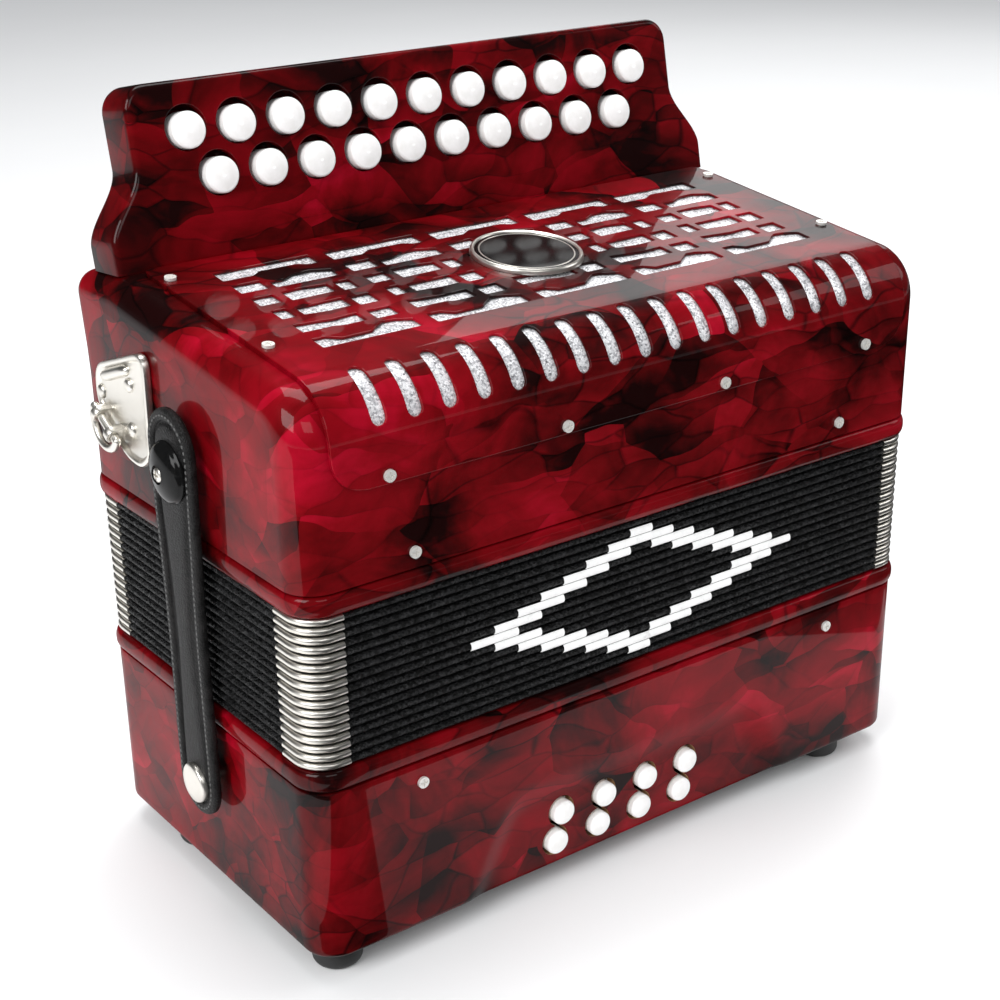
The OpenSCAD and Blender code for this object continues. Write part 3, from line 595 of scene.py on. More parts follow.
# %% Turned and square shapes
def lathe(profile, sides=40):
    """Closed solid turned about +Z: profile is (radius, height) points whose first and last
    lie on the axis. Gives verts and faces; the end points become single poles."""
    ring = np.array(profile[1:-1], float)
    a = tau * np.arange(sides) / sides
    body = np.stack([ring[:, :1] * np.cos(a), ring[:, :1] * np.sin(a),
        np.repeat(ring[:, 1:], sides, 1)], -1).reshape(-1, 3)
    n = len(ring)
    faces = weave_faces(n, sides, close_rows=False).tolist()
    verts = np.vstack([body, [[0, 0, profile[0][1]], [0, 0, profile[-1][1]]]])
    for k in range(sides):
        faces.append([n * sides, (k + 1) % sides, k])
        faces.append([n * sides + 1, (n - 1) * sides + k, (n - 1) * sides + (k + 1) % sides])
    return verts, faces

def aim(direction):
    """Turn that takes +Z to a direction."""
    return np.array(Vector(direction).to_track_quat("Z", "Y").to_matrix())

def joined(parts):
    """Several (verts, faces) made one."""
    verts, faces, at = [], [], 0
    for v, f in parts:
        verts.append(np.asarray(v, float))
        faces += [[i + at for i in face] for face in f]
        at += len(v)
    return np.vstack(verts), faces

def turned(profile, place, direction, sides=40):
    """Lathe turned to a direction and moved to a place."""
    verts, faces = lathe(profile, sides)
    return verts @ aim(direction).T + np.array(place), faces

def block(low, high):
    """Box between two corners as (verts, faces)."""
    x, y, z = zip(low, high)
    verts = [(x[i], y[j], z[k]) for i in (0, 1) for j in (0, 1) for k in (0, 1)]
    faces = [(0, 1, 3, 2), (4, 6, 7, 5), (0, 4, 5, 1), (2, 3, 7, 6), (0, 2, 6, 4), (1, 5, 7, 3)]
    return np.array(verts), faces

def cutter(shape, material=WOOD):
    """Closed (verts, faces) as a piece to cut with; the cut takes on its material."""
    return mesh_piece("cutter", *shape, material)

def settle(piece, body, node=None):
    """Hangs a piece on the body that carries it, and hides the node that it stands for."""
    if node:
        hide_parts(node)
    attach(piece, body)

print("points of a turned cone:", len(lathe([(0, 0), (1, 0), (0, 1)])[0]))

# %% [markdown]
# ## Bass box
# The bass box is one thick wall carried round the outline, with a rounded lower edge. On its
# front a shallow hollow gives the fingers room. It could be carved with a cutter, but its edge
# would be hard, so its depth is a smooth step of the distance from its edge.

# %% The finger hollow
SCOOP_DEPTH = 3.5 * MM
SCOOP_HALF, SCOOP_SLANT, SCOOP_SIDE = 81 * MM, 0.50, 13 * MM
SCOOP_TOP, SCOOP_FADE = 42 * MM, 16 * MM
SKIN = 3 * MM               # depth of the wall that follows the hollow
FRONT_WALL = 8 * MM

def smooth_step(t):
    """0 before 0, 1 after 1, and an S curve between."""
    t = np.clip(t, 0, 1)
    return t * t * (3 - 2 * t)

def scoop(x, z):
    """Depth of the hollow: the smaller of the distances from its slanted sides and from its
    top edge, softened where they meet, through a smooth step."""
    up = z - BASS_LOW
    side = (SCOOP_HALF - up * SCOOP_SLANT - np.abs(x)) * 0.9 / SCOOP_SIDE
    top = (SCOOP_TOP - up) / SCOOP_FADE
    both = -np.log(np.exp(-4 * side) + np.exp(-4 * top)) / 4
    return SCOOP_DEPTH * smooth_step(both)

def bass_shape(grid, insets):
    """Pushes the front face back by the hollow, and keeps the front wall thick."""
    x, y, z = grid[..., 0], grid[..., 1], grid[..., 2]
    outer = insets[:, None] < SKIN
    front = (y < FRONT + SKIN) & outer
    fade = np.clip(1 - (y - FRONT) / SKIN, 0, 1)
    grid[..., 1] = np.where(front, y + scoop(x, z) * fade, y)
    grid[..., 1] = np.where(~outer, np.maximum(grid[..., 1], FRONT + FRONT_WALL), grid[..., 1])
    return grid

print("hollow", round(float(scoop(0, BASS_LOW)) / MM, 2), "mm deep at its foot")

# %% Wall of the bass box
FOOT_R, LIP_R = 2.5 * MM, 0.8 * MM
low, high = BASS_LOW, BASS_TOP
profile = arc(FOOT_R, low + FOOT_R, FOOT_R, 270, 180, 5)
profile += [(0, z) for z in np.arange(low + 4 * MM, high - 2 * MM, 1.6 * MM)]
profile += arc(LIP_R, high - LIP_R, LIP_R, 180, 90, 3)
profile += [(WALL, high), (WALL, low + 30 * MM), (WALL, low)]
bass_box = ring_piece("bass_box_shell", profile, [RED, WOOD], bass_shape, angle=30)
settle(bass_box, "bass", "bass_box")
print("bass box: a profile of", len(profile), "points")

# %% [markdown]
# Each bass button comes through its own hole. A button tips as it is pressed, so a hole is an
# oval with most room above and below. The holes of a row are one tool, and the rows are cut one
# after the other, because their ovals overlap.

# %% Holes of the bass buttons and the air button
KEY_ROWS = {row: [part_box(f"bass_key_{row}_{i}") for i in range(1, 5)] for row in ("lower", "upper")}
BASS_ROW_Z = {"lower": BASS_LOW + 9 * MM, "upper": BASS_LOW + 20.6 * MM}
CAP_R = 4.8 * MM
HOLE_WIDE = 5.9 * MM
HOLE_TALL = {"lower": 6.0 * MM, "upper": 6.3 * MM}
AIR_R, AIR_UP = 7.2 * MM, 24 * MM
for row, boxes in KEY_ROWS.items():
    tall = HOLE_TALL[row]
    drill_line = [(0, -2 * MM), (tall, -2 * MM), (tall, 12 * MM), (0, 12 * MM)]
    holes = []
    for box_low, box_high in boxes:
        cap_x = box_low[0] + CAP_R if row == "upper" else box_high[0] - CAP_R
        verts, faces = turned(drill_line, (0, FRONT - 1 * MM, BASS_ROW_Z[row]), (0, 1, 0), 36)
        holes.append((verts * [HOLE_WIDE / tall, 1, 1] + [cap_x, 0, 0], faces))
    cut(bass_box, cutter(joined(holes)))
air_low, air_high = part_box("air_key")
air_place = ((air_low[0] + air_high[0]) / 2, HALF_D - 6 * MM, BASS_LOW + AIR_UP)
air_line = [(0, 0), (AIR_R, 0), (AIR_R, 8 * MM), (0, 8 * MM)]
cut(bass_box, cutter(turned(air_line, air_place, (0, 1, 0))))
print("bass box faces:", len(bass_box.data.polygons))

# %% [markdown]
# ## Bellows frames
# Each end of the bellows is glued to a frame with a rounded moulding, which stands a little
# proud of the boxes. A black gasket shows as a thin line between frame and box. Both are profiles
# carried round the outline, because a bevelled ring would keep a flat in its middle.

# %% Bellows frames and gaskets
MOULD_IN, MOULD_OUT, MOULD_BACK = 1.2 * MM, 2.2 * MM, 14 * MM
GASKET_IN, GASKET_BACK = 1.3 * MM, 6 * MM

def moulding(name, low, high, node, body):
    """Half-round moulding: outside an arc flattened by a power of the cosine, square inside."""
    mid, half = (low + high) / 2, (high - low) / 2
    a = np.radians(np.linspace(-90, 90, 13))
    outer = [(MOULD_IN - MOULD_OUT * cos(t) ** 0.7, mid + half * sin(t)) for t in a]
    profile = outer + [(MOULD_BACK, high), (MOULD_BACK, low)]
    settle(ring_piece(name, profile, RED, angle=50), body, node)

def gasket(name, low, high, body):
    """Thin black ring set back from the face of the box."""
    profile = [(GASKET_IN, low), (GASKET_IN, high), (GASKET_BACK, high), (GASKET_BACK, low)]
    settle(ring_piece(name, profile, GASKET_AND_SHADE), body)

moulding("lower_moulding", *LOWER_FRAME, "lower_bellows_frame", "bass")
moulding("upper_moulding", *UPPER_FRAME, "upper_bellows_frame", "treble")
gasket("lower_gasket", BASS_TOP, LOWER_FRAME[0], "bass")
gasket("upper_gasket", UPPER_FRAME[1], TREBLE_LOW, "treble")
frame_heights = [round((top - foot) / MM, 1) for foot, top in (LOWER_FRAME, UPPER_FRAME)]
print("mouldings", frame_heights, "mm high")

# %% [markdown] ## Bellows A fold is two card walls that meet at an outer edge bound with cloth.
# The walls must stretch when the bellows open and the bound edges must not. Here each half fold and each
# edge is a fixed mesh at rest; the step's inverse is only worked out for the print below.

# %% Shares of the opening
FOLDS = 17
PITCH = (FOLDS_TOP - FOLDS_LOW) / FOLDS

def step_inverse(w):
    """The t for which 3 t^2 - 2 t^3 is w: the classic trisection formula."""
    return 0.5 - sin(np.arcsin(1 - 2 * w) / 3)

def stretch(piece, z0, z1, w0, w1):
    """Bakes the piece's placement into its mesh; the heights z0, z1 and the shares w0, w1 are not used."""
    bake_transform(piece)

def carry(piece):
    """Bakes the piece's placement into its mesh; it stays where it is."""
    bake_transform(piece)

print("half the opening is at", round(step_inverse(0.5), 3), "and a tenth at", round(step_inverse(0.1), 3))

# %% Walls of the folds
PEAK_IN, VALLEY_IN = 1.6 * MM, 20 * MM
CARD_SHARE = 0.22           # thickness of the card, as a share of a half fold

def half_fold(index, upper):
    """Card wall from the outer edge of a fold to the valley above or below it."""
    end, turn = ("upper", 0.5) if upper else ("lower", -0.5)
    peak = FOLDS_LOW + (index + 0.5) * PITCH
    valley = peak + turn * PITCH
    card = CARD_SHARE * (valley - peak)
    profile = [(PEAK_IN, peak), (VALLEY_IN * 0.55, (peak + valley) / 2), (VALLEY_IN, valley),
        (VALLEY_IN, valley - card), (VALLEY_IN * 0.6, (peak + valley) / 2 - card), (4 * MM, peak)]
    piece = ring_piece(f"fold_wall_{index + 1}_{end}", profile, CLOTH, angle=60)
    share = (index + 0.5) / FOLDS
    other = share + turn / FOLDS
    if upper:
        stretch(piece, peak, valley, share, other)
    else:
        stretch(piece, valley, peak, other, share)

for index in range(FOLDS):
    half_fold(index, False)
    half_fold(index, True)
print("folds:", FOLDS, "pitch", round(PITCH / MM, 2), "mm")

# %% [markdown]
# The bound edge is a rounded strip of cloth. On it sit nickel corner caps, which wrap each
# corner, and in front the white tapes, stepped from fold to fold into a diamond.

# %% Bound edges and corner caps
EDGE_HALF = 0.335 * PITCH
EDGE_STEPS, EDGE_BACK = 9, 6 * MM
EDGE_IN, EDGE_BULGE = 0.5 * MM, 1.5 * MM
CAP_SIDE, CAP_FRONT, CAP_T = 19 * MM, 15.5 * MM, 0.32 * MM
ON_CLOTH = 0.02 * MM        # gap that keeps a layer off the cloth

def edge_arc(z, out, half=EDGE_HALF):
    """Half an oval outside, drawn out by a layer of thickness out, as (inset, height)."""
    a = np.radians(np.linspace(-90, 90, EDGE_STEPS))
    return [(EDGE_IN - out + EDGE_BULGE * (1 - cos(t) ** 0.8), z + (half + 0.6 * out) * sin(t))
        for t in a]

def strip(path_rows, m):
    """Closed solid from m-point sections along a path, with flat ends."""
    grid = np.stack(path_rows)
    n = len(grid)
    faces = weave_faces(n, m, close_rows=False).tolist()
    faces += [list(range(m))[::-1], list(range((n - 1) * m, n * m))]
    return grid.reshape(-1, 3), faces

def corner_cap(z, sx, sy):
    """Nickel cap of one fold at one corner: a thin layer carried along side, arc and front."""
    section = edge_arc(z, CAP_T) + edge_arc(z, ON_CLOTH)[::-1]
    rows_by_point = []
    for d, height in section:
        w, dd, r = HALF_W - d, HALF_D - d, CORNER_R - d
        a = np.radians(np.linspace(0, 90, 9))
        x = np.concatenate([[w], w - r + r * np.cos(a), [HALF_W - CAP_FRONT]])
        y = np.concatenate([[HALF_D - CAP_SIDE], dd - r + r * np.sin(a), [dd]])
        rows_by_point.append(np.column_stack([sx * x, sy * y, np.full(len(x), height)]))
    return strip(np.stack(rows_by_point, 1), len(section))

print("corner cap points:", len(corner_cap(0, 1, 1)[0]))

# %% White tapes
TAPE_HALF, TAPE_T = 0.46 * PITCH, 0.3 * MM
STEP, TAPE_BEND = 10 * MM, 0.25 * MM

def tape_strip(z, x0, x1):
    """White tape on the front of one fold from x0 to x1."""
    outer = edge_arc(z, TAPE_T, TAPE_HALF)[1:-1]
    section = outer + edge_arc(z, ON_CLOTH, TAPE_HALF)[1:-1][::-1]
    ends = [x0, x0 + TAPE_BEND, x1 - TAPE_BEND, x1]
    rows = [np.array([(x, FRONT + d, h) for d, h in section]) for x in ends]
    return strip(rows, len(section))

def tapes_of(row):
    """Stretches of white tape on a fold, counted from the lowest: the diamond's steps."""
    middle = (FOLDS + 1) / 2
    k = (row if row <= middle else FOLDS + 1 - row) - 1.5
    if not 2 <= row <= FOLDS - 1:
        return []
    inner = max(k - 2, 0)
    return [(-k, k)] if inner == 0 else [(-k, -inner), (inner, k)]

print("tapes:", sum(len(tapes_of(row)) for row in range(1, FOLDS + 1)))

# %% Every fold's edge, caps and tapes
for row in range(1, FOLDS + 1):
    z = FOLDS_LOW + (row - 0.5) * PITCH
    share = (row - 0.5) / FOLDS
    rim = edge_arc(z, 0) + [(EDGE_BACK, z + 0.3 * MM), (EDGE_BACK, z - 0.3 * MM)]
    edge = ring_piece(f"fold_edge_{row}", rim, CLOTH, angle=60)
    carry(edge)
    caps = joined([corner_cap(z, sx, sy) for sx in (-1, 1) for sy in (-1, 1)])
    cap = mesh_piece(f"corner_caps_{row}", *caps, NICKEL, angle=50)
    carry(cap)
    if row == 1:
        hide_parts("bellows_folds")
        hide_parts("bellows_corners")
    if tapes_of(row):
        tapes = joined([tape_strip(z, a * STEP, b * STEP) for a, b in tapes_of(row)])
        white = mesh_piece(f"white_tape_{row}", *tapes, TAPE, angle=50)
        carry(white)
        if row == 2:
            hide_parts("bellows_strips")
print("edges:", FOLDS, "each", round(2 * EDGE_HALF / MM, 2), "mm high")

# %% [markdown]
# ## Treble box
# The treble box has a roof that rises to the back and rolls over the front with a big radius.
# Its side ridges and upright corners are rounded less. One way to make it is to bevel a block,
# but the radii change along the way. So the section from front to back is drawn once as a path
# with round corners, and each of its points carries a fillet to both sides.

# %% Roof of the treble box
SLOPE = 0.12
TILT = atan(SLOPE)
ROLL_R = 20 * MM
ROOF_END = FRONT + 117 * MM
SIGHT = 33 * MM                       # how far behind the front the roof height is given
ROOF_SIGHT = TREBLE_LOW + 67.6 * MM
BACK_TOP = TREBLE_LOW + 74.6 * MM
BACK_R = 8 * MM

def roof_height(y):
    """Height of the roof: a plane that rises to the back, then falls to the back wall."""
    rise = ROOF_SIGHT + SLOPE * (y - FRONT - SIGHT)
    ridge = ROOF_SIGHT + SLOPE * (ROOF_END - FRONT - SIGHT)
    fall = ridge + (y - ROOF_END) * (BACK_TOP - ridge) / (HALF_D - ROOF_END)
    return np.where(y < ROOF_END, rise, fall)

def roof_at(y):
    """Height of the roof at one place, as a plain number."""
    return float(roof_height(np.array(y)))

print("roof: front", round(roof_at(FRONT), 4), "ridge", round(roof_at(ROOF_END), 4))

# %% A path with round corners
ARC_DEGREES = 2.2

def round_path(corners, radii):
    """Points and normals along a path of straight lines joined by tangent arcs; an arc has a
    point for every few degrees. Gives points, outward normals and the arcs' first indices."""
    c = [np.array(p, float) for p in corners]
    points, normals, starts = [c[0]], [], []
    for i in range(1, len(c) - 1):
        into = (c[i] - c[i - 1]) / np.linalg.norm(c[i] - c[i - 1])
        away = (c[i + 1] - c[i]) / np.linalg.norm(c[i + 1] - c[i])
        bend_by = np.arccos(np.clip(into @ away, -1, 1))
        n0 = np.array([-into[1], into[0]])
        centre = c[i] - into * radii[i - 1] * np.tan(bend_by / 2) - n0 * radii[i - 1]
        t = np.linspace(0, bend_by, max(3, int(np.degrees(bend_by) / ARC_DEGREES)))
        turn = np.cos(t)[:, None] * n0 + np.sin(t)[:, None] * into
        if not normals:
            normals.append(n0)
        starts.append(sum(len(np.atleast_2d(p)) for p in points))
        points.append(centre + radii[i - 1] * turn)
        normals += list(turn)
    normals.append(normals[-1])
    points.append(c[-1])
    return np.vstack(points), np.array(normals), starts

turn_path = round_path([(0, 0), (0, 1), (1, 1)], [0.5])[0]
print("a quarter turn has", len(turn_path) - 2, "points")

# %% The block under the roof
RIDGE_R = 40 * MM
FILLETS = (12, 12, 10, 10, 7.8, 7.8, 12, 12)
BACK_STEPS, ACROSS_STEPS, FILLET_STEPS = 7, 11, 10

def hood(name, shrink, low, material):
    """Closed block under the roof, drawn in by shrink. A point of the section at distance q
    below its skin has x = W - r + (r - shrink) sin a, where q = r - (r - shrink) cos a, and r
    is the fillet's radius there."""
    corners = [(FRONT, low), (FRONT, roof_at(FRONT)), (ROOF_END, roof_at(ROOF_END)),
        (HALF_D, BACK_TOP), (HALF_D, low)]
    path, normal, arcs = round_path(corners, [ROLL_R, RIDGE_R, BACK_R])
    extra = np.linspace(path[-2], path[-1], BACK_STEPS + 1)[1:-1]
    path = np.vstack([path[:-1], extra, path[-1:]])
    normal = np.vstack([normal[:-1], np.repeat(normal[-1:], BACK_STEPS, 0)])
    walked = np.concatenate([[0], np.cumsum(np.linalg.norm(np.diff(path, axis=0), axis=1))])
    back = walked[-BACK_STEPS - 1]
    keys = [0, walked[arcs[0]], walked[arcs[1] - 1], walked[arcs[1]], walked[arcs[2]] - 2 * MM,
        back, back + 25 * MM, walked[-1]]
    fillet = np.interp(walked, keys, [v * MM for v in FILLETS])[:, None]
    a = np.radians(np.linspace(0, 90, FILLET_STEPS))
    q = fillet - (fillet - shrink) * np.cos(a)
    x = HALF_W - fillet + (fillet - shrink) * np.sin(a)
    y = path[:, :1] - normal[:, :1] * q
    z = np.maximum(path[:, 1:] - normal[:, 1:] * q, low)
    right = np.stack([x, y, z], -1)
    across = np.linspace(-1, 1, ACROSS_STEPS + 2)[1:-1]
    flat = [np.repeat(v[:, :1], ACROSS_STEPS, 1) for v in (y, z)]
    middle = np.stack([right[:, :1, 0] * across, *flat], -1)
    left = (right * [-1, 1, 1])[:, ::-1]
    grid = np.concatenate([left, middle, right], 1)
    n, m = grid.shape[:2]
    faces = weave_faces(n, m, close_rows=False, close_columns=False).tolist()
    faces += [[i * m for i in range(n)], [i * m + m - 1 for i in range(n)]]
    faces.append(list(range(m)) + [(n - 1) * m + j for j in range(m)][::-1])
    return mesh_piece(name, grid.reshape(-1, 3), faces, material, angle=30)

print("fillets from", min(FILLETS), "to", max(FILLETS), "mm")

# %% Treble box
OPEN_HALF, OPEN_TOP = 118 * MM, TREBLE_LOW + 120 * MM
treble_box = hood("treble_box_shell", 0, TREBLE_LOW, RED)
cavity = hood("cutter", WALL, TREBLE_LOW - 5 * MM, WOOD)
window = block((-OPEN_HALF, FRONT - 5 * MM, TREBLE_LOW + 40.6 * MM),
    (OPEN_HALF, FRONT + 112 * MM, OPEN_TOP))
lever_slot = block((-OPEN_HALF, FRONT + 123.5 * MM, TREBLE_LOW + 50 * MM),
    (OPEN_HALF, FRONT + 138 * MM, OPEN_TOP))
cut(treble_box, cavity, cutter(window), cutter(lever_slot))
settle(treble_box, "treble", "treble_box")
print("treble box faces:", len(treble_box.data.polygons))

# %% [markdown]
# ## Grille
# The grille is a sheet of celluloid bent over the front edge of the box. It is drawn flat first,
# where its cut-outs are easy: across is x, and up is the distance s along the sheet. A filled
# 2-D curve makes the sheet with all its holes, and the flat points are then bent over the box.

# %% The flat grille and the bend
GRILLE_LOW = span("grille", 2)[0]
GRILLE_HALF = span("grille", 0)[1]
GRILLE_T, SHEET_T = 1.8 * MM, 1.0 * MM
ROLL_Y = FRONT + ROLL_R
ROLL_Z = roof_at(ROLL_Y) - ROLL_R / cos(TILT)
S_ROLL = ROLL_Z - GRILLE_LOW
S_TOP = S_ROLL + ROLL_R * (pi / 2 - TILT)
Y_TOP = ROLL_Y - ROLL_R * sin(TILT)
S_END = S_TOP + (ROOF_END - Y_TOP) / cos(TILT)

def s_at_y(y):
    """Distance along the sheet of a point of the top that lies y behind the front."""
    return S_TOP + (FRONT + y - Y_TOP) / cos(TILT)

def bend(x, s, t):
    """A point of the sheet, t above the box: straight up the front, round the roll of radius
    ROLL_R + t, then along the sloping top."""
    turn = np.clip(s - S_ROLL, 0, S_TOP - S_ROLL) / ROLL_R
    y = ROLL_Y - (ROLL_R + t) * np.cos(turn)
    z = ROLL_Z + (ROLL_R + t) * np.sin(turn)
    on = np.clip(s - S_TOP, 0, None)
    y = y + on * cos(TILT)
    z = z + on * sin(TILT) + np.minimum(s - S_ROLL, 0)
    return np.stack([x, y, z], -1)

print("sheet", round(S_END / MM, 1), "mm long, the roll from", round(S_ROLL / MM, 1))

# %% Outlines with soft corners
def soft_corners(points, radii, n):
    """Outline whose corners are parabolas, no wider than 45% of the shorter side beside them."""
    p = np.array(points, float)
    before, after = np.roll(p, 1, 0), np.roll(p, -1, 0)
    out = []
    for a, b, c, r in zip(before, p, after, np.broadcast_to(radii, len(p))):
        into, away = a - b, c - b
        reach = min(r, 0.45 * np.linalg.norm(into), 0.45 * np.linalg.norm(away))
        start = b + into / np.linalg.norm(into) * reach
        end = b + away / np.linalg.norm(away) * reach
        t = np.linspace(0, 1, n)[:, None]
        out.append((1 - t) ** 2 * start + 2 * t * (1 - t) * b + t ** 2 * end)
    return np.concatenate(out)

def grown(points, by):
    """Outline moved outwards: each corner goes out along the sum of its two side normals,
    divided by one plus their product, so that every side moves by the same distance."""
    p = np.array(points, float)
    into = p - np.roll(p, 1, 0)
    normal = np.column_stack([into[:, 1], -into[:, 0]]) / np.linalg.norm(into, axis=1)[:, None]
    after = np.roll(normal, -1, 0)
    return p + by * (normal + after) / (1 + (normal * after).sum(1))[:, None]

print("a grown square:", grown([(0, 0), (1, 0), (1, 1), (0, 1)], 1).tolist())

# %% [markdown]
# The fretwork repeats a cell of wavy bars five times. One list holds the openings of a cell, as
# corners in millimetres across the cell and behind the front; their corners are then softened.

# %% Openings of the grille
CELL_X, CELL_PITCH, CELLS = -108 * MM, 44.6 * MM, 5
FRET = [
    [(0, 31.5), (37.6, 31.5), (37.6, 37.3), (32, 39.4), (28, 39.8), (24, 37.2), (21, 34.8),
        (9, 34.6), (5, 37.8), (0, 38)],
    [(0.7, 45), (12, 45), (15, 44), (23.6, 44), (23.6, 49.8), (15, 49.2), (0.7, 50.8)],
    [(28.5, 43.6), (36.6, 43.6), (36.6, 49.8), (28.5, 49.8)],
    [(0.5, 57.5), (5, 57.5), (5, 64.2), (0.5, 64.2)],
    [(9, 57.5), (18, 56.6), (26.5, 57), (26.5, 63.4), (9, 63)],
    [(30, 56), (37, 56), (37, 63), (30, 63)],
    [(0, 70.4), (7.5, 70.4), (7.5, 76.6), (0, 76.6)],
    [(12, 70), (28.5, 70.4), (28.5, 76.4), (20, 77.4), (12, 77)],
    [(32.4, 69.6), (37.4, 69.6), (37.4, 76.6), (32.4, 76.6)],
    [(0, 83), (10, 83), (10, 89.6), (0, 89.6)],
    [(13.4, 82.5), (37.6, 82.5), (37.6, 87.6), (31, 90), (24, 89.6), (19, 87), (13.4, 87)],
    [(0, 95.6), (11, 95.6), (15, 98.2), (30, 98.2), (34, 96), (37.6, 96), (37.6, 102.8),
        (0, 102.8)]]
FRET_SOFT = 0.45 * MM
VENTS, VENT_PITCH, VENT_W = 17, 13.58 * MM, 5.5 * MM
VENT_S = (19.2 * MM, S_TOP - 3 * MM)

def fret_openings():
    """Every opening of the fretwork as an outline in (x, s)."""
    out = []
    for cell in range(CELLS):
        x0 = CELL_X + cell * CELL_PITCH
        for corners in FRET:
            flat = [(x0 + x * MM, s_at_y(y * MM)) for x, y in corners]
            out.append(soft_corners(grown(flat, FRET_SOFT), FRET_SOFT, 3))
    return out

def vent_openings():
    """The row of tall slots over the roll, each with round ends."""
    r = VENT_W / 2
    a = np.linspace(0, pi, 9)
    top = np.stack([r * np.cos(a), VENT_S[1] - r + r * np.sin(a)], 1)
    low = np.stack([-r * np.cos(a), VENT_S[0] + r - r * np.sin(a)], 1)
    slot_line = np.concatenate([top, low])
    middle = (VENTS - 1) / 2
    return [slot_line + [(i - middle) * VENT_PITCH, 0] for i in range(VENTS)]

print("openings:", len(fret_openings()), "vents:", VENTS)

# %% [markdown]
# Cutting sixty openings with Booleans would be slow, and the thin bars would suffer. A filled
# curve makes the whole sheet at once, but its big faces can't bend, so the mesh is sliced along
# lines of equal s wherever it will curve.

# %% A flat sheet with holes
SLICES = np.linspace(S_ROLL, S_TOP, 20)

def flat_sheet(outlines, thick, round_edge):
    """Mesh of a filled flat curve: the first outline is the sheet, the others are its holes.
    The curve's bevel rounds the edges, and draws them in by its own width."""
    curve = bpy.data.curves.new("flat", "CURVE")
    curve.dimensions, curve.fill_mode = "2D", "BOTH"
    curve.extrude = thick / 2 - round_edge
    curve.bevel_depth, curve.bevel_resolution = round_edge, 1
    curve.offset = -round_edge
    for line in outlines:
        spline = curve.splines.new("POLY")
        spline.points.add(len(line) - 1)
        flat = np.column_stack([line, np.zeros(len(line)), np.ones(len(line))])
        spline.points.foreach_set("co", flat.ravel())
        spline.use_cyclic_u = True
    holder = bpy.data.objects.new("flat", curve)
    bpy.context.scene.collection.objects.link(holder)
    graph = bpy.context.evaluated_depsgraph_get()
    mesh = bpy.data.meshes.new_from_object(holder.evaluated_get(graph))
    bpy.data.objects.remove(holder)
    return mesh

def points_of(mesh):
    """The mesh's points as an array."""
    flat = np.empty(len(mesh.vertices) * 3)
    mesh.vertices.foreach_get("co", flat)
    return flat.reshape(-1, 3)

def slice_rows(mesh):
    """Cuts the mesh along lines of equal s, so that it can be bent there."""
    bm = bmesh.new()
    bm.from_mesh(mesh)
    bmesh.ops.remove_doubles(bm, verts=bm.verts, dist=2e-6)
    for s in SLICES:
        everything = list(bm.verts) + list(bm.edges) + list(bm.faces)
        bmesh.ops.bisect_plane(bm, geom=everything, dist=1e-7, plane_co=(0, s, 0),
            plane_no=(0, 1, 0))
    bmesh.ops.recalc_face_normals(bm, faces=bm.faces)
    bm.to_mesh(mesh)
    bm.free()

print("slices round the roll:", len(SLICES), "from", round(SLICES[0], 4), "to", round(SLICES[-1], 4))

# %% Bending the grille
FRONT_SOFT, BACK_SOFT = 15 * MM, 3 * MM
RIM_SIDE, RIM_FRONT, RIM_BACK = 11 * MM, 9 * MM, 6 * MM

def bent_sheet(name, outlines, t0, t1, round_edge, node=None):
    """Flat sheet with holes, sliced and bent over the box between heights t0 and t1."""
    mesh = flat_sheet(outlines, t1 - t0, round_edge)
    slice_rows(mesh)
    p = points_of(mesh)
    mesh.vertices.foreach_set("co", bend(p[:, 0], p[:, 1], p[:, 2] + (t0 + t1) / 2).ravel())
    piece = dress(mesh, name, RED, 12, fix=False)
    settle(piece, "treble", node)
    return piece

def upright(half, low, high):
    """Corners of an upright rectangle, anticlockwise from the lower left."""
    return [(-half, low), (half, low), (half, high), (-half, high)]

rim_line = soft_corners(upright(GRILLE_HALF, 0, S_END),
    [FRONT_SOFT, FRONT_SOFT, BACK_SOFT, BACK_SOFT], 14)
grille = bent_sheet("grille_sheet", [rim_line] + fret_openings() + vent_openings(),
    GRILLE_T - SHEET_T, GRILLE_T, 0.3 * MM, "grille")
opening = soft_corners(upright(GRILLE_HALF - RIM_SIDE, RIM_FRONT, S_END - RIM_BACK), 3 * MM, 4)
bent_sheet("grille_spacer", [rim_line, opening], 0.05 * MM, GRILLE_T - SHEET_T - 0.02 * MM,
    0.1 * MM)
print("grille faces:", len(grille.data.polygons))

# %% [markdown]
# ## Sparkle cloth
# Silver gauze is glued under the openings. A cloth simulation would hardly move cloth that is
# glued all round, so it is a thin sheet that follows the same bend, with small waves.

# %% Sparkle cloth
CLOTH_T, WAVE = 0.3 * MM, 0.15 * MM
cloth_low, cloth_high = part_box("grille_cloth")
nx, ns = 220, 130
s_low = S_ROLL - (ROLL_Z - cloth_low[2])
s_high = S_TOP + (cloth_high[1] - Y_TOP) / cos(TILT)
x, s = np.meshgrid(np.linspace(cloth_low[0], cloth_high[0], nx), np.linspace(s_low, s_high, ns),
    indexing="ij")
waves = np.sin(x * 410 + 3 * np.sin(s * 160)) * np.sin(s * 330 + 2 * np.sin(x * 90))
under = GRILLE_T - SHEET_T - 0.2 * MM - WAVE * waves
sides = np.stack([bend(x, s, under), bend(x, s, under - CLOTH_T)])
grid_faces = weave_faces(nx, ns, close_rows=False, close_columns=False)
rim = np.concatenate([np.arange(ns), np.arange(1, nx) * ns + ns - 1,
    (nx - 1) * ns + np.arange(ns - 2, -1, -1), np.arange(nx - 2, 0, -1) * ns])
edge_faces = np.stack([rim, np.roll(rim, -1), np.roll(rim, -1) + nx * ns, rim + nx * ns], 1)
cloth = mesh_piece("sparkle_cloth", sides.reshape(-1, 3),
    np.concatenate([grid_faces, grid_faces[:, ::-1] + nx * ns, edge_faces]), SPARKLE)
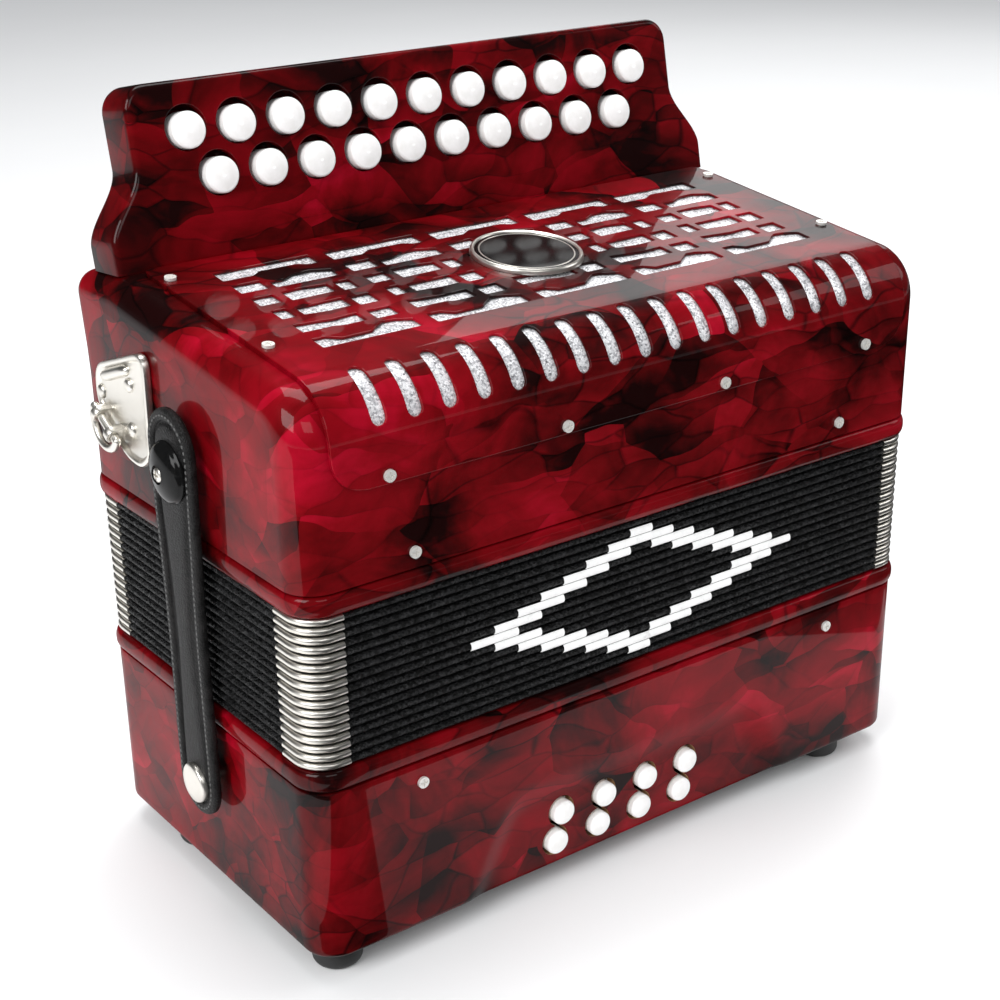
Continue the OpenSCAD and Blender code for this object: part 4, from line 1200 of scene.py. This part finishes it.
settle(cloth, "treble", "grille_cloth")
print("cloth", round((s_high - s_low) / MM), "mm long")

# %% [markdown]
# ## Badge
# A round badge sits in the middle of the fretwork. Like the real one it is turned: a raised
# nickel rim, a step, and a slightly domed enamel face with a thin inlaid ring. The ring is a
# piece of its own, because paint would look flat. The badge carries no lettering.

# %% Badge
BADGE_R, RIM_W, INLAY_IN, INLAY_R = 20.8 * MM, 1.7 * MM, 3.4 * MM, 0.3 * MM
DOME_LOW, DOME_RISE = 1.55 * MM, 0.5 * MM
BADGE_SIDES = 96
UP_HERE = (0, -sin(TILT), cos(TILT))      # square to the sloping top
badge_at = bend(np.array(0.0), np.array(s_at_y(66.8 * MM)), np.array(GRILLE_T))
r, face_r, inlay_r = BADGE_R, BADGE_R - RIM_W, BADGE_R - INLAY_IN
rim_profile = [(0, 0.1 * MM), (r, 0.1 * MM), (r, 1.2 * MM), (r - 0.35 * MM, 1.9 * MM),
    (r - 0.9 * MM, 2.2 * MM), (r - 1.4 * MM, 2.0 * MM), (face_r, 1.5 * MM), (0, 1.5 * MM)]
badge_rim = mesh_piece("badge_rim", *turned(rim_profile, badge_at, UP_HERE, BADGE_SIDES), NICKEL)
share = np.linspace(1, 0, 12)
dome = [(face_r * t, DOME_LOW + DOME_RISE * (1 - t * t)) for t in share]
face_profile = [(0, 1.4 * MM), (face_r, 1.4 * MM)] + dome
badge_face = mesh_piece("badge_face", *turned(face_profile, badge_at, UP_HERE, BADGE_SIDES), ENAMEL)
lift = DOME_LOW + DOME_RISE * (1 - (inlay_r / face_r) ** 2)
around = tau * np.arange(BADGE_SIDES) / BADGE_SIDES
section = tau * np.arange(8)[:, None] / 8
out = inlay_r + INLAY_R * np.cos(section)
ring = np.stack([out * np.cos(around), out * np.sin(around),
    np.repeat(lift + 0.16 * MM * np.sin(section), BADGE_SIDES, 1)], -1).reshape(-1, 3)
badge_inlay = mesh_piece("badge_inlay", ring @ aim(UP_HERE).T + badge_at,
    weave_faces(8, BADGE_SIDES), NICKEL)
settle(badge_rim, "treble")
settle(badge_face, "treble", "grille_badge")
settle(badge_inlay, "treble")
print("badge", round(2 * BADGE_R / MM, 1), "mm across")

# %% [markdown]
# ## Fingerboard
# The fingerboard is a hollow plate that leans back. Its outline has soft shoulders, and its
# edges are rounded. A bevel would pinch at the shoulders, so the outline is computed once and
# drawn in along its own normals for the rounding.

# %% Fingerboard outline
LEAN = atan(0.2)
BOARD_REF = TREBLE_LOW + 79.3 * MM
BOARD_Y = FRONT + 120.6 * MM
BOARD_T = 21 * MM
BOARD_TOP = TREBLE_LOW + 138.9 * MM
SHOULDER = (TREBLE_LOW + 87 * MM, TREBLE_LOW + 112 * MM)
NECK_W, BASE_W = HALF_W - 18 * MM, HALF_W - 5 * MM
TOP_R = 9 * MM

def in_board(u, v, w):
    """Point of the leaning board: u across, v up its face, w behind its face."""
    y = BOARD_Y + v * sin(LEAN) + w * cos(LEAN)
    z = BOARD_REF + v * cos(LEAN) - w * sin(LEAN)
    return np.stack(np.broadcast_arrays(u, y, z), -1)

def up_face(z):
    """Distance v up the face for a height z on the face."""
    return (z - BOARD_REF) / cos(LEAN)

def board_line(inset=0.0):
    """Outline of the board, drawn in along its normals. Half width: base, then a smooth step
    in to the neck; round top corners."""
    low, high = SHOULDER
    z = np.concatenate([[BOARD_REF - 22 * MM, BOARD_REF - 8 * MM], np.linspace(low, high, 31),
        [high + 8 * MM]])
    half = BASE_W - (BASE_W - NECK_W) * smooth_step((z - low) / (high - low))
    a = np.linspace(0, pi / 2, 14)
    u = np.concatenate([half, NECK_W - TOP_R + TOP_R * np.cos(a)])
    v = np.concatenate([up_face(z), up_face(BOARD_TOP) - TOP_R + TOP_R * np.sin(a)])
    line = np.column_stack([np.concatenate([u, -u[::-1]]), np.concatenate([v, v[::-1]])])
    along = np.gradient(line[:len(u)], axis=0)
    normal = np.column_stack([along[:, 1], -along[:, 0]])
    normal /= np.linalg.norm(normal, axis=1)[:, None]
    normal[-1] = (0, 1)
    normal = np.vstack([normal, normal[::-1] * [-1, 1]])
    return line - normal * inset

print("outline points:", len(board_line()))

# %% Fingerboard plate
def board_solid(name, profile, material):
    """Closed plate: the outline carried through (inset, depth) points. Each end is closed by
    quads that join the mirrored points of the outline."""
    rows = []
    for inset, depth in profile:
        line = board_line(inset)
        rows.append(in_board(line[:, 0], line[:, 1], np.full(len(line), depth)))
    m, n = len(rows[0]), len(rows)
    faces = weave_faces(n, m, close_rows=False).tolist()
    for first in (0, (n - 1) * m):
        faces += [[first + i, first + i + 1, first + m - 2 - i, first + m - 1 - i]
            for i in range(m // 2 - 1)]
    return mesh_piece(name, np.concatenate(rows), faces, material)

EDGE, BACK_EDGE, BOARD_WALL = 2.2 * MM, 2.5 * MM, 3 * MM
front_edge = arc(EDGE, EDGE, EDGE, 270, 180, 7)
back_edge = arc(BACK_EDGE, BOARD_T - BACK_EDGE, BACK_EDGE, 180, 90, 5)
board = board_solid("fingerboard_shell", front_edge + back_edge, RED)
hollow = board_solid("cutter", [(BOARD_WALL, BOARD_WALL), (BOARD_WALL, BOARD_T + 4 * MM)], RED)
print("fingerboard", round(BOARD_T / MM), "mm thick, walls", round(BOARD_WALL / MM), "mm")

# %% [markdown]
# The plate stands on the roof, so everything under the roof's line is cut off its foot. Then each
# button gets its hole, with a fine chamfer. The places come from the boxes of the keys.

# %% Foot and button holes of the fingerboard
roof_ys = [FRONT + y * MM for y in (95, 117, 150.5, 180)]
foot_line = [(y, roof_at(y) + 0.05 * MM) for y in roof_ys]
foot_line += [(roof_ys[-1], TREBLE_LOW), (roof_ys[0], TREBLE_LOW)]
foot_faces = [tuple(range(6))[::-1], tuple(range(6, 12))]
foot_faces += [(i, (i + 1) % 6, (i + 1) % 6 + 6, i + 6) for i in range(6)]
foot = ([(x, y, z) for x in (-0.2, 0.2) for y, z in foot_line], foot_faces)
HOLE_R, HOLE_RISE, LIP = 8.0 * MM, 0.9 * MM, 0.25 * MM
ROW_Z = {"inner": BOARD_REF + 26.1 * MM, "outer": BOARD_REF + 42.6 * MM}
INTO_BOARD = (0, cos(LEAN), -sin(LEAN))
drill_line = [(0, -LIP), (HOLE_R + 2 * LIP, -LIP), (HOLE_R, LIP), (HOLE_R, 8 * MM), (0, 8 * MM)]
drills = []
for row, height in ROW_Z.items():
    for key in [name for name in nodes if name.startswith(f"treble_key_{row}_")]:
        key_low, key_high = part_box(key)
        middle = in_board((key_low[0] + key_high[0]) / 2, up_face(height) + HOLE_RISE, 0)
        drills.append(turned(drill_line, middle, INTO_BOARD, 48))
cut(board, hollow, cutter(foot, RED), cutter(joined(drills), RED))
settle(board, "treble", "fingerboard")
print("fingerboard faces:", len(board.data.polygons), "holes:", len(drills))

# %% [markdown]
# ## Straps
# The bellows straps are two layers of leather sewn together round the edge: a raised border, a
# sewn groove with small stitches, and a padded middle. Sculpting would give each its own errors,
# so an outline with a soft waist is drawn in step by step, and each step has its height. The same
# helper makes the flat hand strap.

# %% Sewn leather
def strap_line(length, width, waist, taper, inset, n=44):
    """Stadium outline about the origin, long side up, drawn in by inset. Its lower end is
    narrower by the taper on each side, and the sides pull in by waist as a squared sine."""
    top, low = width / 2, width / 2 - taper
    share = np.linspace(0, 1, n + 1)
    v = low - length / 2 + share * (length - top - low)
    side = low + taper * share - inset - waist * np.sin(pi * share) ** 2
    a = np.linspace(0, pi, 25)[1:-1]
    round_end = np.column_stack([np.cos(a), np.sin(a)])
    upper = round_end * (top - inset) + [0, v[-1]]
    lower = [0, v[0]] - round_end * (low - inset)
    right = np.column_stack([side, v])
    return np.concatenate([right, upper, right[::-1] * [-1, 1], lower])

SEWN = [(0.5, 0, 0), (0, 0.5, 0), (0, -1.1, 0), (0.4, -0.35, 0), (1.1, 0, 0), (3.6, 0, 0),
    (4.1, -0.35, 0), (4.4, -0.9, 0), (4.9, -0.95, 0.6), (5.4, -0.5, 1), (6.2, -0.1, 1),
    (8.5, 0.15, 1)]

def sewn_leather(length, width, waist, taper, narrow, thick, place):
    """Strap of two layers: border, groove and padded middle. SEWN holds each step's inset, its
    height (from the top where it is 0 or less, save the first two) and its share of narrow,
    by which the middle panel draws in at the waist; place turns (u, v, height) into points."""
    rows = []
    for i, (inset, rise, panel) in enumerate(SEWN):
        height = rise * MM + (thick if i > 1 else 0)
        line = strap_line(length, width, waist + panel * narrow, taper, inset * MM)
        rows.append(place(line[:, 0], line[:, 1], np.full(len(line), height)))
    m = len(rows[0])
    faces = weave_faces(len(rows), m, close_rows=False).tolist()
    faces += [list(range(m)), list(range((len(rows) - 1) * m, len(rows) * m))]
    return np.concatenate(rows), faces

print("sewn steps:", len(SEWN), "points round a strap:", len(strap_line(1, 0.2, 0, 0, 0)))

# %% Stitches
SEAM_IN = 2.5 * MM
STITCH_W, STITCH_H, STITCH_SHARE = 0.38 * MM, 0.34 * MM, 0.36
RING = [(cos(b), sin(b)) for b in tau * np.arange(6) / 6]
STITCH = np.array([(-1, 0, 0), *[(x, c, d) for x in (-0.5, 0.5) for c, d in RING], (1, 0, 0)])
PAIRS = [(k, (k + 1) % 6) for k in range(6)]
STITCH_FACES = [(0, 1 + n, 1 + k) for k, n in PAIRS]
STITCH_FACES += [(1 + k, 1 + n, 7 + n, 7 + k) for k, n in PAIRS]
STITCH_FACES += [(13, 7 + k, 7 + n) for k, n in PAIRS]

def stitches(length, width, waist, taper, pitch, height, place):
    """Row of small thread bumps at equal steps round the border, each a lozenge of two cones."""
    line = strap_line(length, width, waist, taper, SEAM_IN, 400)
    line = np.vstack([line, line[:1]])
    legs = np.linalg.norm(np.diff(line, axis=0), axis=1)
    reach = np.concatenate([[0], np.cumsum(legs)])
    count = int(reach[-1] / pitch)
    at = (np.arange(count) + 0.5) * reach[-1] / count
    u, v = np.interp(at, reach, line[:, 0]), np.interp(at, reach, line[:, 1])
    du = np.interp(at + 0.1 * MM, reach, line[:, 0]) - u
    dv = np.interp(at + 0.1 * MM, reach, line[:, 1]) - v
    size = np.hypot(du, dv)
    du, dv = du / size, dv / size
    shape = STITCH * [STITCH_SHARE * pitch, STITCH_W, STITCH_H]
    uu = u[:, None] + du[:, None] * shape[:, 0] - dv[:, None] * shape[:, 1]
    vv = v[:, None] + dv[:, None] * shape[:, 0] + du[:, None] * shape[:, 1]
    hh = height + np.broadcast_to(shape[:, 2], uu.shape)
    faces = [[i + len(STITCH) * c for i in f] for c in range(count) for f in STITCH_FACES]
    return place(uu.ravel(), vv.ravel(), hh.ravel()), faces

THREAD = moulded("waxed_thread", (0.07, 0.07, 0.068), 0.5, 0.3, 0.0002, 1500)
print("faces of a stitch:", len(STITCH_FACES))

# %% Cross screws
def cross_screw(place, direction, r=2.7 * MM, t=1.1 * MM):
    """Domed screw head with a cross recess, as verts and faces."""
    profile = [(0, -0.6 * MM), (r, -0.6 * MM), (r, 0.2 * MM), (r * 0.9, t * 0.55),
        (r * 0.62, t * 0.9), (0, t)]
    head = mesh_piece("screw", *turned(profile, (0, 0, 0), (0, 0, 1), 32), NICKEL)
    for long, wide in ((0.62 * r, 0.13 * r), (0.13 * r, 0.62 * r)):
        cut(head, cutter(block((-long, -wide, t * 0.35), (long, wide, t * 2)), NICKEL))
    verts = points_of(head.data) @ aim(direction).T + np.array(place)
    faces = [list(f.vertices) for f in head.data.polygons]
    bpy.data.objects.remove(head)
    return verts, faces

print("screw head points:", len(cross_screw((0, 0, 0), (0, 0, 1))[0]))

# %% [markdown]
# The domes and the snaps are turned on the lathe helper. The strap, its thread, dome, screw and
# snap swing together, so all of them ride on the strap's body.

# %% Bellows straps with their pivot domes and snaps
WAIST, TAPER, PANEL_IN = 1.2 * MM, 2 * MM, 2.2 * MM
STRAP_GAP, STRAP_T, STITCH_PITCH = 3.6 * MM, 3 * MM, 2.2 * MM
PIVOT_UP, SNAP_UP = TREBLE_LOW + 23.6 * MM, BASS_LOW + 42.6 * MM
DOME_R, SINK = 11 * MM, 3.9 * MM
dome_line = [(0, -0.2 * MM), (DOME_R, -0.2 * MM), (DOME_R, 0.6 * MM), (DOME_R - 0.3 * MM, 1.0 * MM)]
dome_line += [((DOME_R - 0.5 * MM) * cos(t), 1.0 * MM + 3.8 * MM * sin(t))
    for t in np.radians(np.linspace(4, 68, 8))]
dome_line += [(3.3 * MM, 4.7 * MM), (3.0 * MM, SINK), (0, SINK)]
snap_line = [(0, -0.4 * MM), (7.5 * MM, -0.4 * MM), (7.5 * MM, 1.1 * MM), (7.2 * MM, 1.7 * MM),
    (6.5 * MM, 2.1 * MM), (4 * MM, 2.3 * MM), (0, 2.35 * MM)]
SIDES = (("left", -1), ("right", 1))

def bellows_strap(side, sign):
    """Sewn strap of one side with its thread, dome, screw and snap; gives its size."""
    body = f"bellows_strap_{side}"
    strap_low, strap_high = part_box(body)
    inner = HALF_W + STRAP_GAP
    mid_y, mid_z = (strap_low[1] + strap_high[1]) / 2, (strap_low[2] + strap_high[2]) / 2
    size = (strap_high[2] - strap_low[2], strap_high[1] - strap_low[1], WAIST, TAPER)

    def beside(u, v, h):
        """Strap coordinates to the side of the box: u along y, v up, h outwards."""
        return np.stack([sign * (inner + h), mid_y - sign * u, mid_z + v], -1)

    out = (sign, 0, 0)
    face = sign * (inner + STRAP_T)
    leather_shape = sewn_leather(*size, PANEL_IN, STRAP_T, beside)
    strap = mesh_piece(f"strap_leather_{side}", *leather_shape, LEATHER, angle=50)
    seam = stitches(*size, STITCH_PITCH, STRAP_T + 0.05 * MM, beside)
    thread = mesh_piece(f"strap_stitches_{side}", *seam, THREAD, angle=80)
    dome_shape = turned(dome_line, (face, mid_y, PIVOT_UP), out, 64)
    dome = mesh_piece(f"pivot_dome_{side}", *dome_shape, ENAMEL)
    screw_shape = cross_screw((face + sign * SINK, mid_y, PIVOT_UP), out)
    screw = mesh_piece(f"pivot_screw_{side}", *screw_shape, NICKEL)
    snap = mesh_piece(f"snap_{side}", *turned(snap_line, (face, mid_y, SNAP_UP), out, 56), NICKEL)
    settle(strap, body, body)
    for piece, finish_slot in ((thread, "leather"), (dome, "rubber"), (screw, "steel"), (snap, "steel")):
        settle(piece, body)
    return size

for side, sign in SIDES:
    strap_size = bellows_strap(side, sign)
print("strap", [round(v / MM, 1) for v in strap_size[:2]], "mm")

# %% [markdown]
# A keystone plate with a rolled rim is riveted to each side. On the real one it is pressed from sheet;
# here its outline is drawn in step by step, as on the straps. On it sit a folded tab over a slot, three
# rivets, and two lugs that hold the ring. The slot is not cut: its dark opening is painted shade, a thin
# black strip under the tab.

# %% Plate of a strap bracket
KEYSTONE = [(91, 59.6), (92, 20.6), (100, 14.6), (112, 15.6), (132, 30.6), (131, 45.6)]
ROLLED = [(0.5, 0.05), (0, 0.6), (0, 2.0), (0.3, 2.75), (1.0, 3.1), (1.7, 2.95), (2.3, 2.3),
    (2.8, 1.85), (3.2, 1.7)]
KEYSTONE_SOFT = [9 * MM, 7 * MM, 5 * MM, 6 * MM, 8 * MM, 8 * MM]

def on_side(sign, y, z, h):
    """Points beside the box: y behind its front, z above the treble box's foot, h outwards."""
    return np.stack(np.broadcast_arrays(sign * (HALF_W + h), FRONT + y, TREBLE_LOW + z), -1)

def drawn_in(line, inset):
    """Closed anticlockwise outline moved in along its normals."""
    along = np.roll(line, -1, 0) - np.roll(line, 1, 0)
    normal = np.column_stack([along[:, 1], -along[:, 0]])
    return line - inset * normal / np.linalg.norm(normal, axis=1)[:, None]

def rolled_plate(sign):
    """The plate's outline carried through its rim's (inset, height) steps."""
    line = soft_corners(np.array(KEYSTONE) * MM, KEYSTONE_SOFT, 8)
    rows = []
    for inset, height in ROLLED:
        inner = drawn_in(line, inset * MM)
        rows.append(on_side(sign, inner[:, 0], inner[:, 1], height * MM))
    m, n = len(line), len(ROLLED)
    faces = weave_faces(n, m, close_rows=False).tolist()
    return np.concatenate(rows), faces + [list(range(m)), list(range((n - 1) * m, n * m))]

print("plate points:", len(rolled_plate(1)[0]))

# %% Tab, slot and ring lugs
FACE_H, BAR_H = 1.7 * MM, 5.6 * MM
LUG_R, LUG_BORE, LUG_T = 3 * MM, 1.62 * MM, 3 * MM
RING_Y, RING_Z, RING_TILT = 120 * MM, 26.6 * MM, radians(30)

def bar_on_plate(sign, middle, direction, length, radius, height):
    """Half-round bar that lies on the plate: circles along a direction, drawn in at the ends
    as a quarter circle."""
    share = np.sin(np.linspace(-pi / 2, pi / 2, 15))
    size = np.sqrt(np.clip(1 - np.abs(share) ** 6, 0.02, 1))
    turn = tau * np.arange(12) / 12
    rows = []
    for t, r in zip(share * length / 2, radius * size):
        u = middle[0] + t * cos(direction) - r * np.cos(turn) * sin(direction)
        v = middle[1] + t * sin(direction) + r * np.cos(turn) * cos(direction)
        rows.append(on_side(sign, u, v, FACE_H + height * (r / radius) * np.sin(turn)))
    return strip(rows, 12)

def ring_lug(sign, along):
    """Lug with a bore for the ring's bar: a flat shape with a hole, stood on the plate."""
    foot = FACE_H - 0.3 * MM
    a = np.radians(np.linspace(-90, 90, 13))
    tip = np.column_stack([BAR_H + LUG_R * np.cos(a), LUG_R * np.sin(a)])
    line = np.concatenate([[(foot, -LUG_R)], tip, [(foot, LUG_R)]])
    b = tau * np.arange(24) / 24
    bore = np.column_stack([BAR_H + LUG_BORE * np.cos(b), LUG_BORE * np.sin(b)])
    mesh = flat_sheet([line, bore], LUG_T, 0.35 * MM)
    h, across, t = points_of(mesh).T
    t = t + along
    y = RING_Y + t * cos(RING_TILT) - across * sin(RING_TILT)
    z = RING_Z + t * sin(RING_TILT) + across * cos(RING_TILT)
    faces = [list(f.vertices) for f in mesh.polygons]
    bpy.data.meshes.remove(mesh)
    return on_side(sign, y, z, h), faces

print("lug points:", len(ring_lug(1, 0)[0]))

# %% Strap brackets
RIVETS = [(128.5, 35.6), (106, 43.6), (107, 27.1)]
LUG_ALONG, TAB_TURN = 5.2 * MM, radians(-20)
rivet_line = [(0, 0), (2.7 * MM, 0), (2.6 * MM, 0.6 * MM), (2.0 * MM, 1.2 * MM),
    (1.0 * MM, 1.5 * MM), (0, 1.55 * MM)]
for side, sign in SIDES:
    tab = bar_on_plate(sign, (116 * MM, 45.5 * MM), TAB_TURN, 23 * MM, 2.3 * MM, 2.4 * MM)
    metal = [rolled_plate(sign), ring_lug(sign, -LUG_ALONG), ring_lug(sign, LUG_ALONG), tab]
    metal += [turned(rivet_line, on_side(sign, y * MM, z * MM, FACE_H - 0.1 * MM), (sign, 0, 0), 28)
        for y, z in RIVETS]
    plate = mesh_piece(f"strap_plate_{side}", *joined(metal), NICKEL, angle=40)
    # Painted shade: a thin flat black strip under the tab stands for the dark inside of the slot, which is
    # not cut.
    dark = bar_on_plate(sign, (116.8 * MM, 48.6 * MM), TAB_TURN, 19 * MM, 1.3 * MM, 0.12 * MM)
    slot = mesh_piece(f"painted_slot_shade_{side}", *dark, GASKET_AND_SHADE)
    settle(plate, "treble", "strap_brackets" if side == "left" else None)
    settle(slot, "treble")
print("bracket rivets:", len(RIVETS), "a side")

# %% [markdown]
# The hand strap lies flat under the bass box, held by a clamp at each end. It is the sewn strap
# again, with no waist and no taper, turned to face down.

# %% Hand strap
HAND_TOP = BASS_LOW - 1 * MM
HAND_SIZE = (224 * MM, 34 * MM, 0, 0)
HAND_T, HAND_PITCH = 2.4 * MM, 3.5 * MM

def below_box(u, v, h):
    """Strap coordinates to the underside of the box: v along x, u along y, h downwards."""
    return np.stack([v, u, HAND_TOP - h], -1)

hand_shape = sewn_leather(*HAND_SIZE, 0, HAND_T, below_box)
hand = mesh_piece("hand_strap_leather", *hand_shape, LEATHER, angle=50)
hand_seam = stitches(*HAND_SIZE, HAND_PITCH, HAND_T + 0.02 * MM, below_box)
hand_thread = mesh_piece("hand_strap_stitches", *hand_seam, THREAD, angle=80)
settle(hand, "bass", "hand_strap")
settle(hand_thread, "bass")
print("hand strap", [round(v / MM) for v in HAND_SIZE[:2]], "mm")

# %% Clamps of the hand strap
CLAMP_X, CLAMP_HALF = 116 * MM, np.array([5, 19]) * MM
CLAMP_STEPS = ((0.4, 0.05), (0, 0.5), (0, 3.6), (0.7, 4.3))
CLAMP_SCREW_Y = 12 * MM

def clamp_plate(sign):
    """Block over one end of the strap: its outline, drawn in at the edges, goes down in steps."""
    line = soft_corners([(-4, -19), (6, -19), (6, 19), (-4, 19)], 2.5, 5) * MM * [sign, 1]
    centre = np.array([sign * 1 * MM, 0])
    rows = []
    for inset, h in CLAMP_STEPS:
        ring = (line - centre) * (1 - inset * MM / CLAMP_HALF) + centre
        rows.append(np.column_stack([sign * CLAMP_X + ring[:, 0], ring[:, 1],
            np.full(len(ring), BASS_LOW - h * MM)]))
    m, n = len(line), len(CLAMP_STEPS)
    faces = weave_faces(n, m, close_rows=False).tolist()
    return np.concatenate(rows), faces + [list(range(m)), list(range((n - 1) * m, n * m))]

clamps = []
for sign in (-1, 1):
    clamps.append(clamp_plate(sign))
    for y in (-CLAMP_SCREW_Y, CLAMP_SCREW_Y):
        screw_at = (sign * CLAMP_X + sign * 1 * MM, y, BASS_LOW - 4.3 * MM)
        clamps.append(cross_screw(screw_at, (0, 0, -1), 3 * MM))
clamp = mesh_piece("hand_strap_clamps", *joined(clamps), NICKEL)
settle(clamp, "bass")
print("clamps:", len(clamps), "shapes in one piece")

# %% [markdown]
# ## Finishes of the carried pieces
# Pieces whose packed shape is right keep their meshes and get a finish: keys, axles, screws,
# feet, boards and rings. A name is matched to its finish by its first letters, and what isn't
# listed is red celluloid.

# %% Finishes of the packed nodes
CAP_DEEP, WALL_DEEP = 5.4 * MM, 8 * MM      # how far behind a face the white plastic goes
face_offset = BOARD_Y * cos(LEAN) - BOARD_REF * sin(LEAN)
TREBLE_KEY = key_finish("treble_button", INTO_BOARD, face_offset + CAP_DEEP)
BASS_KEY = key_finish("bass_button", (0, 1, 0), FRONT + WALL_DEEP)
AIR_KEY = key_finish("air_button", (0, -1, 0), WALL_DEEP - HALF_D)
FINISHES = [("treble_key_axle", STEEL), ("treble_key_", TREBLE_KEY), ("bass_key_axles", STEEL),
    ("bass_key_", BASS_KEY), ("air_key", AIR_KEY), ("rubber_feet", RUBBER),
    ("bass_end_plate", GASKET_AND_SHADE), ("strap_studs", NICKEL), ("bass_pins", PIN), ("treble_pins", PIN),
    ("grille_screws", PIN), ("strap_ring_", NICKEL), ("bass_pallet_board", WOOD),
    ("bass_reed_block", WOOD), ("treble_pallet_board", WOOD), ("treble_reed_blocks", WOOD)]
for name, node in nodes.items():
    finish = next((f for start, f in FINISHES if name.startswith(start)), RED)
    node.data.materials.clear()
    node.data.materials.append(finish)
print("finished nodes:", len(nodes))
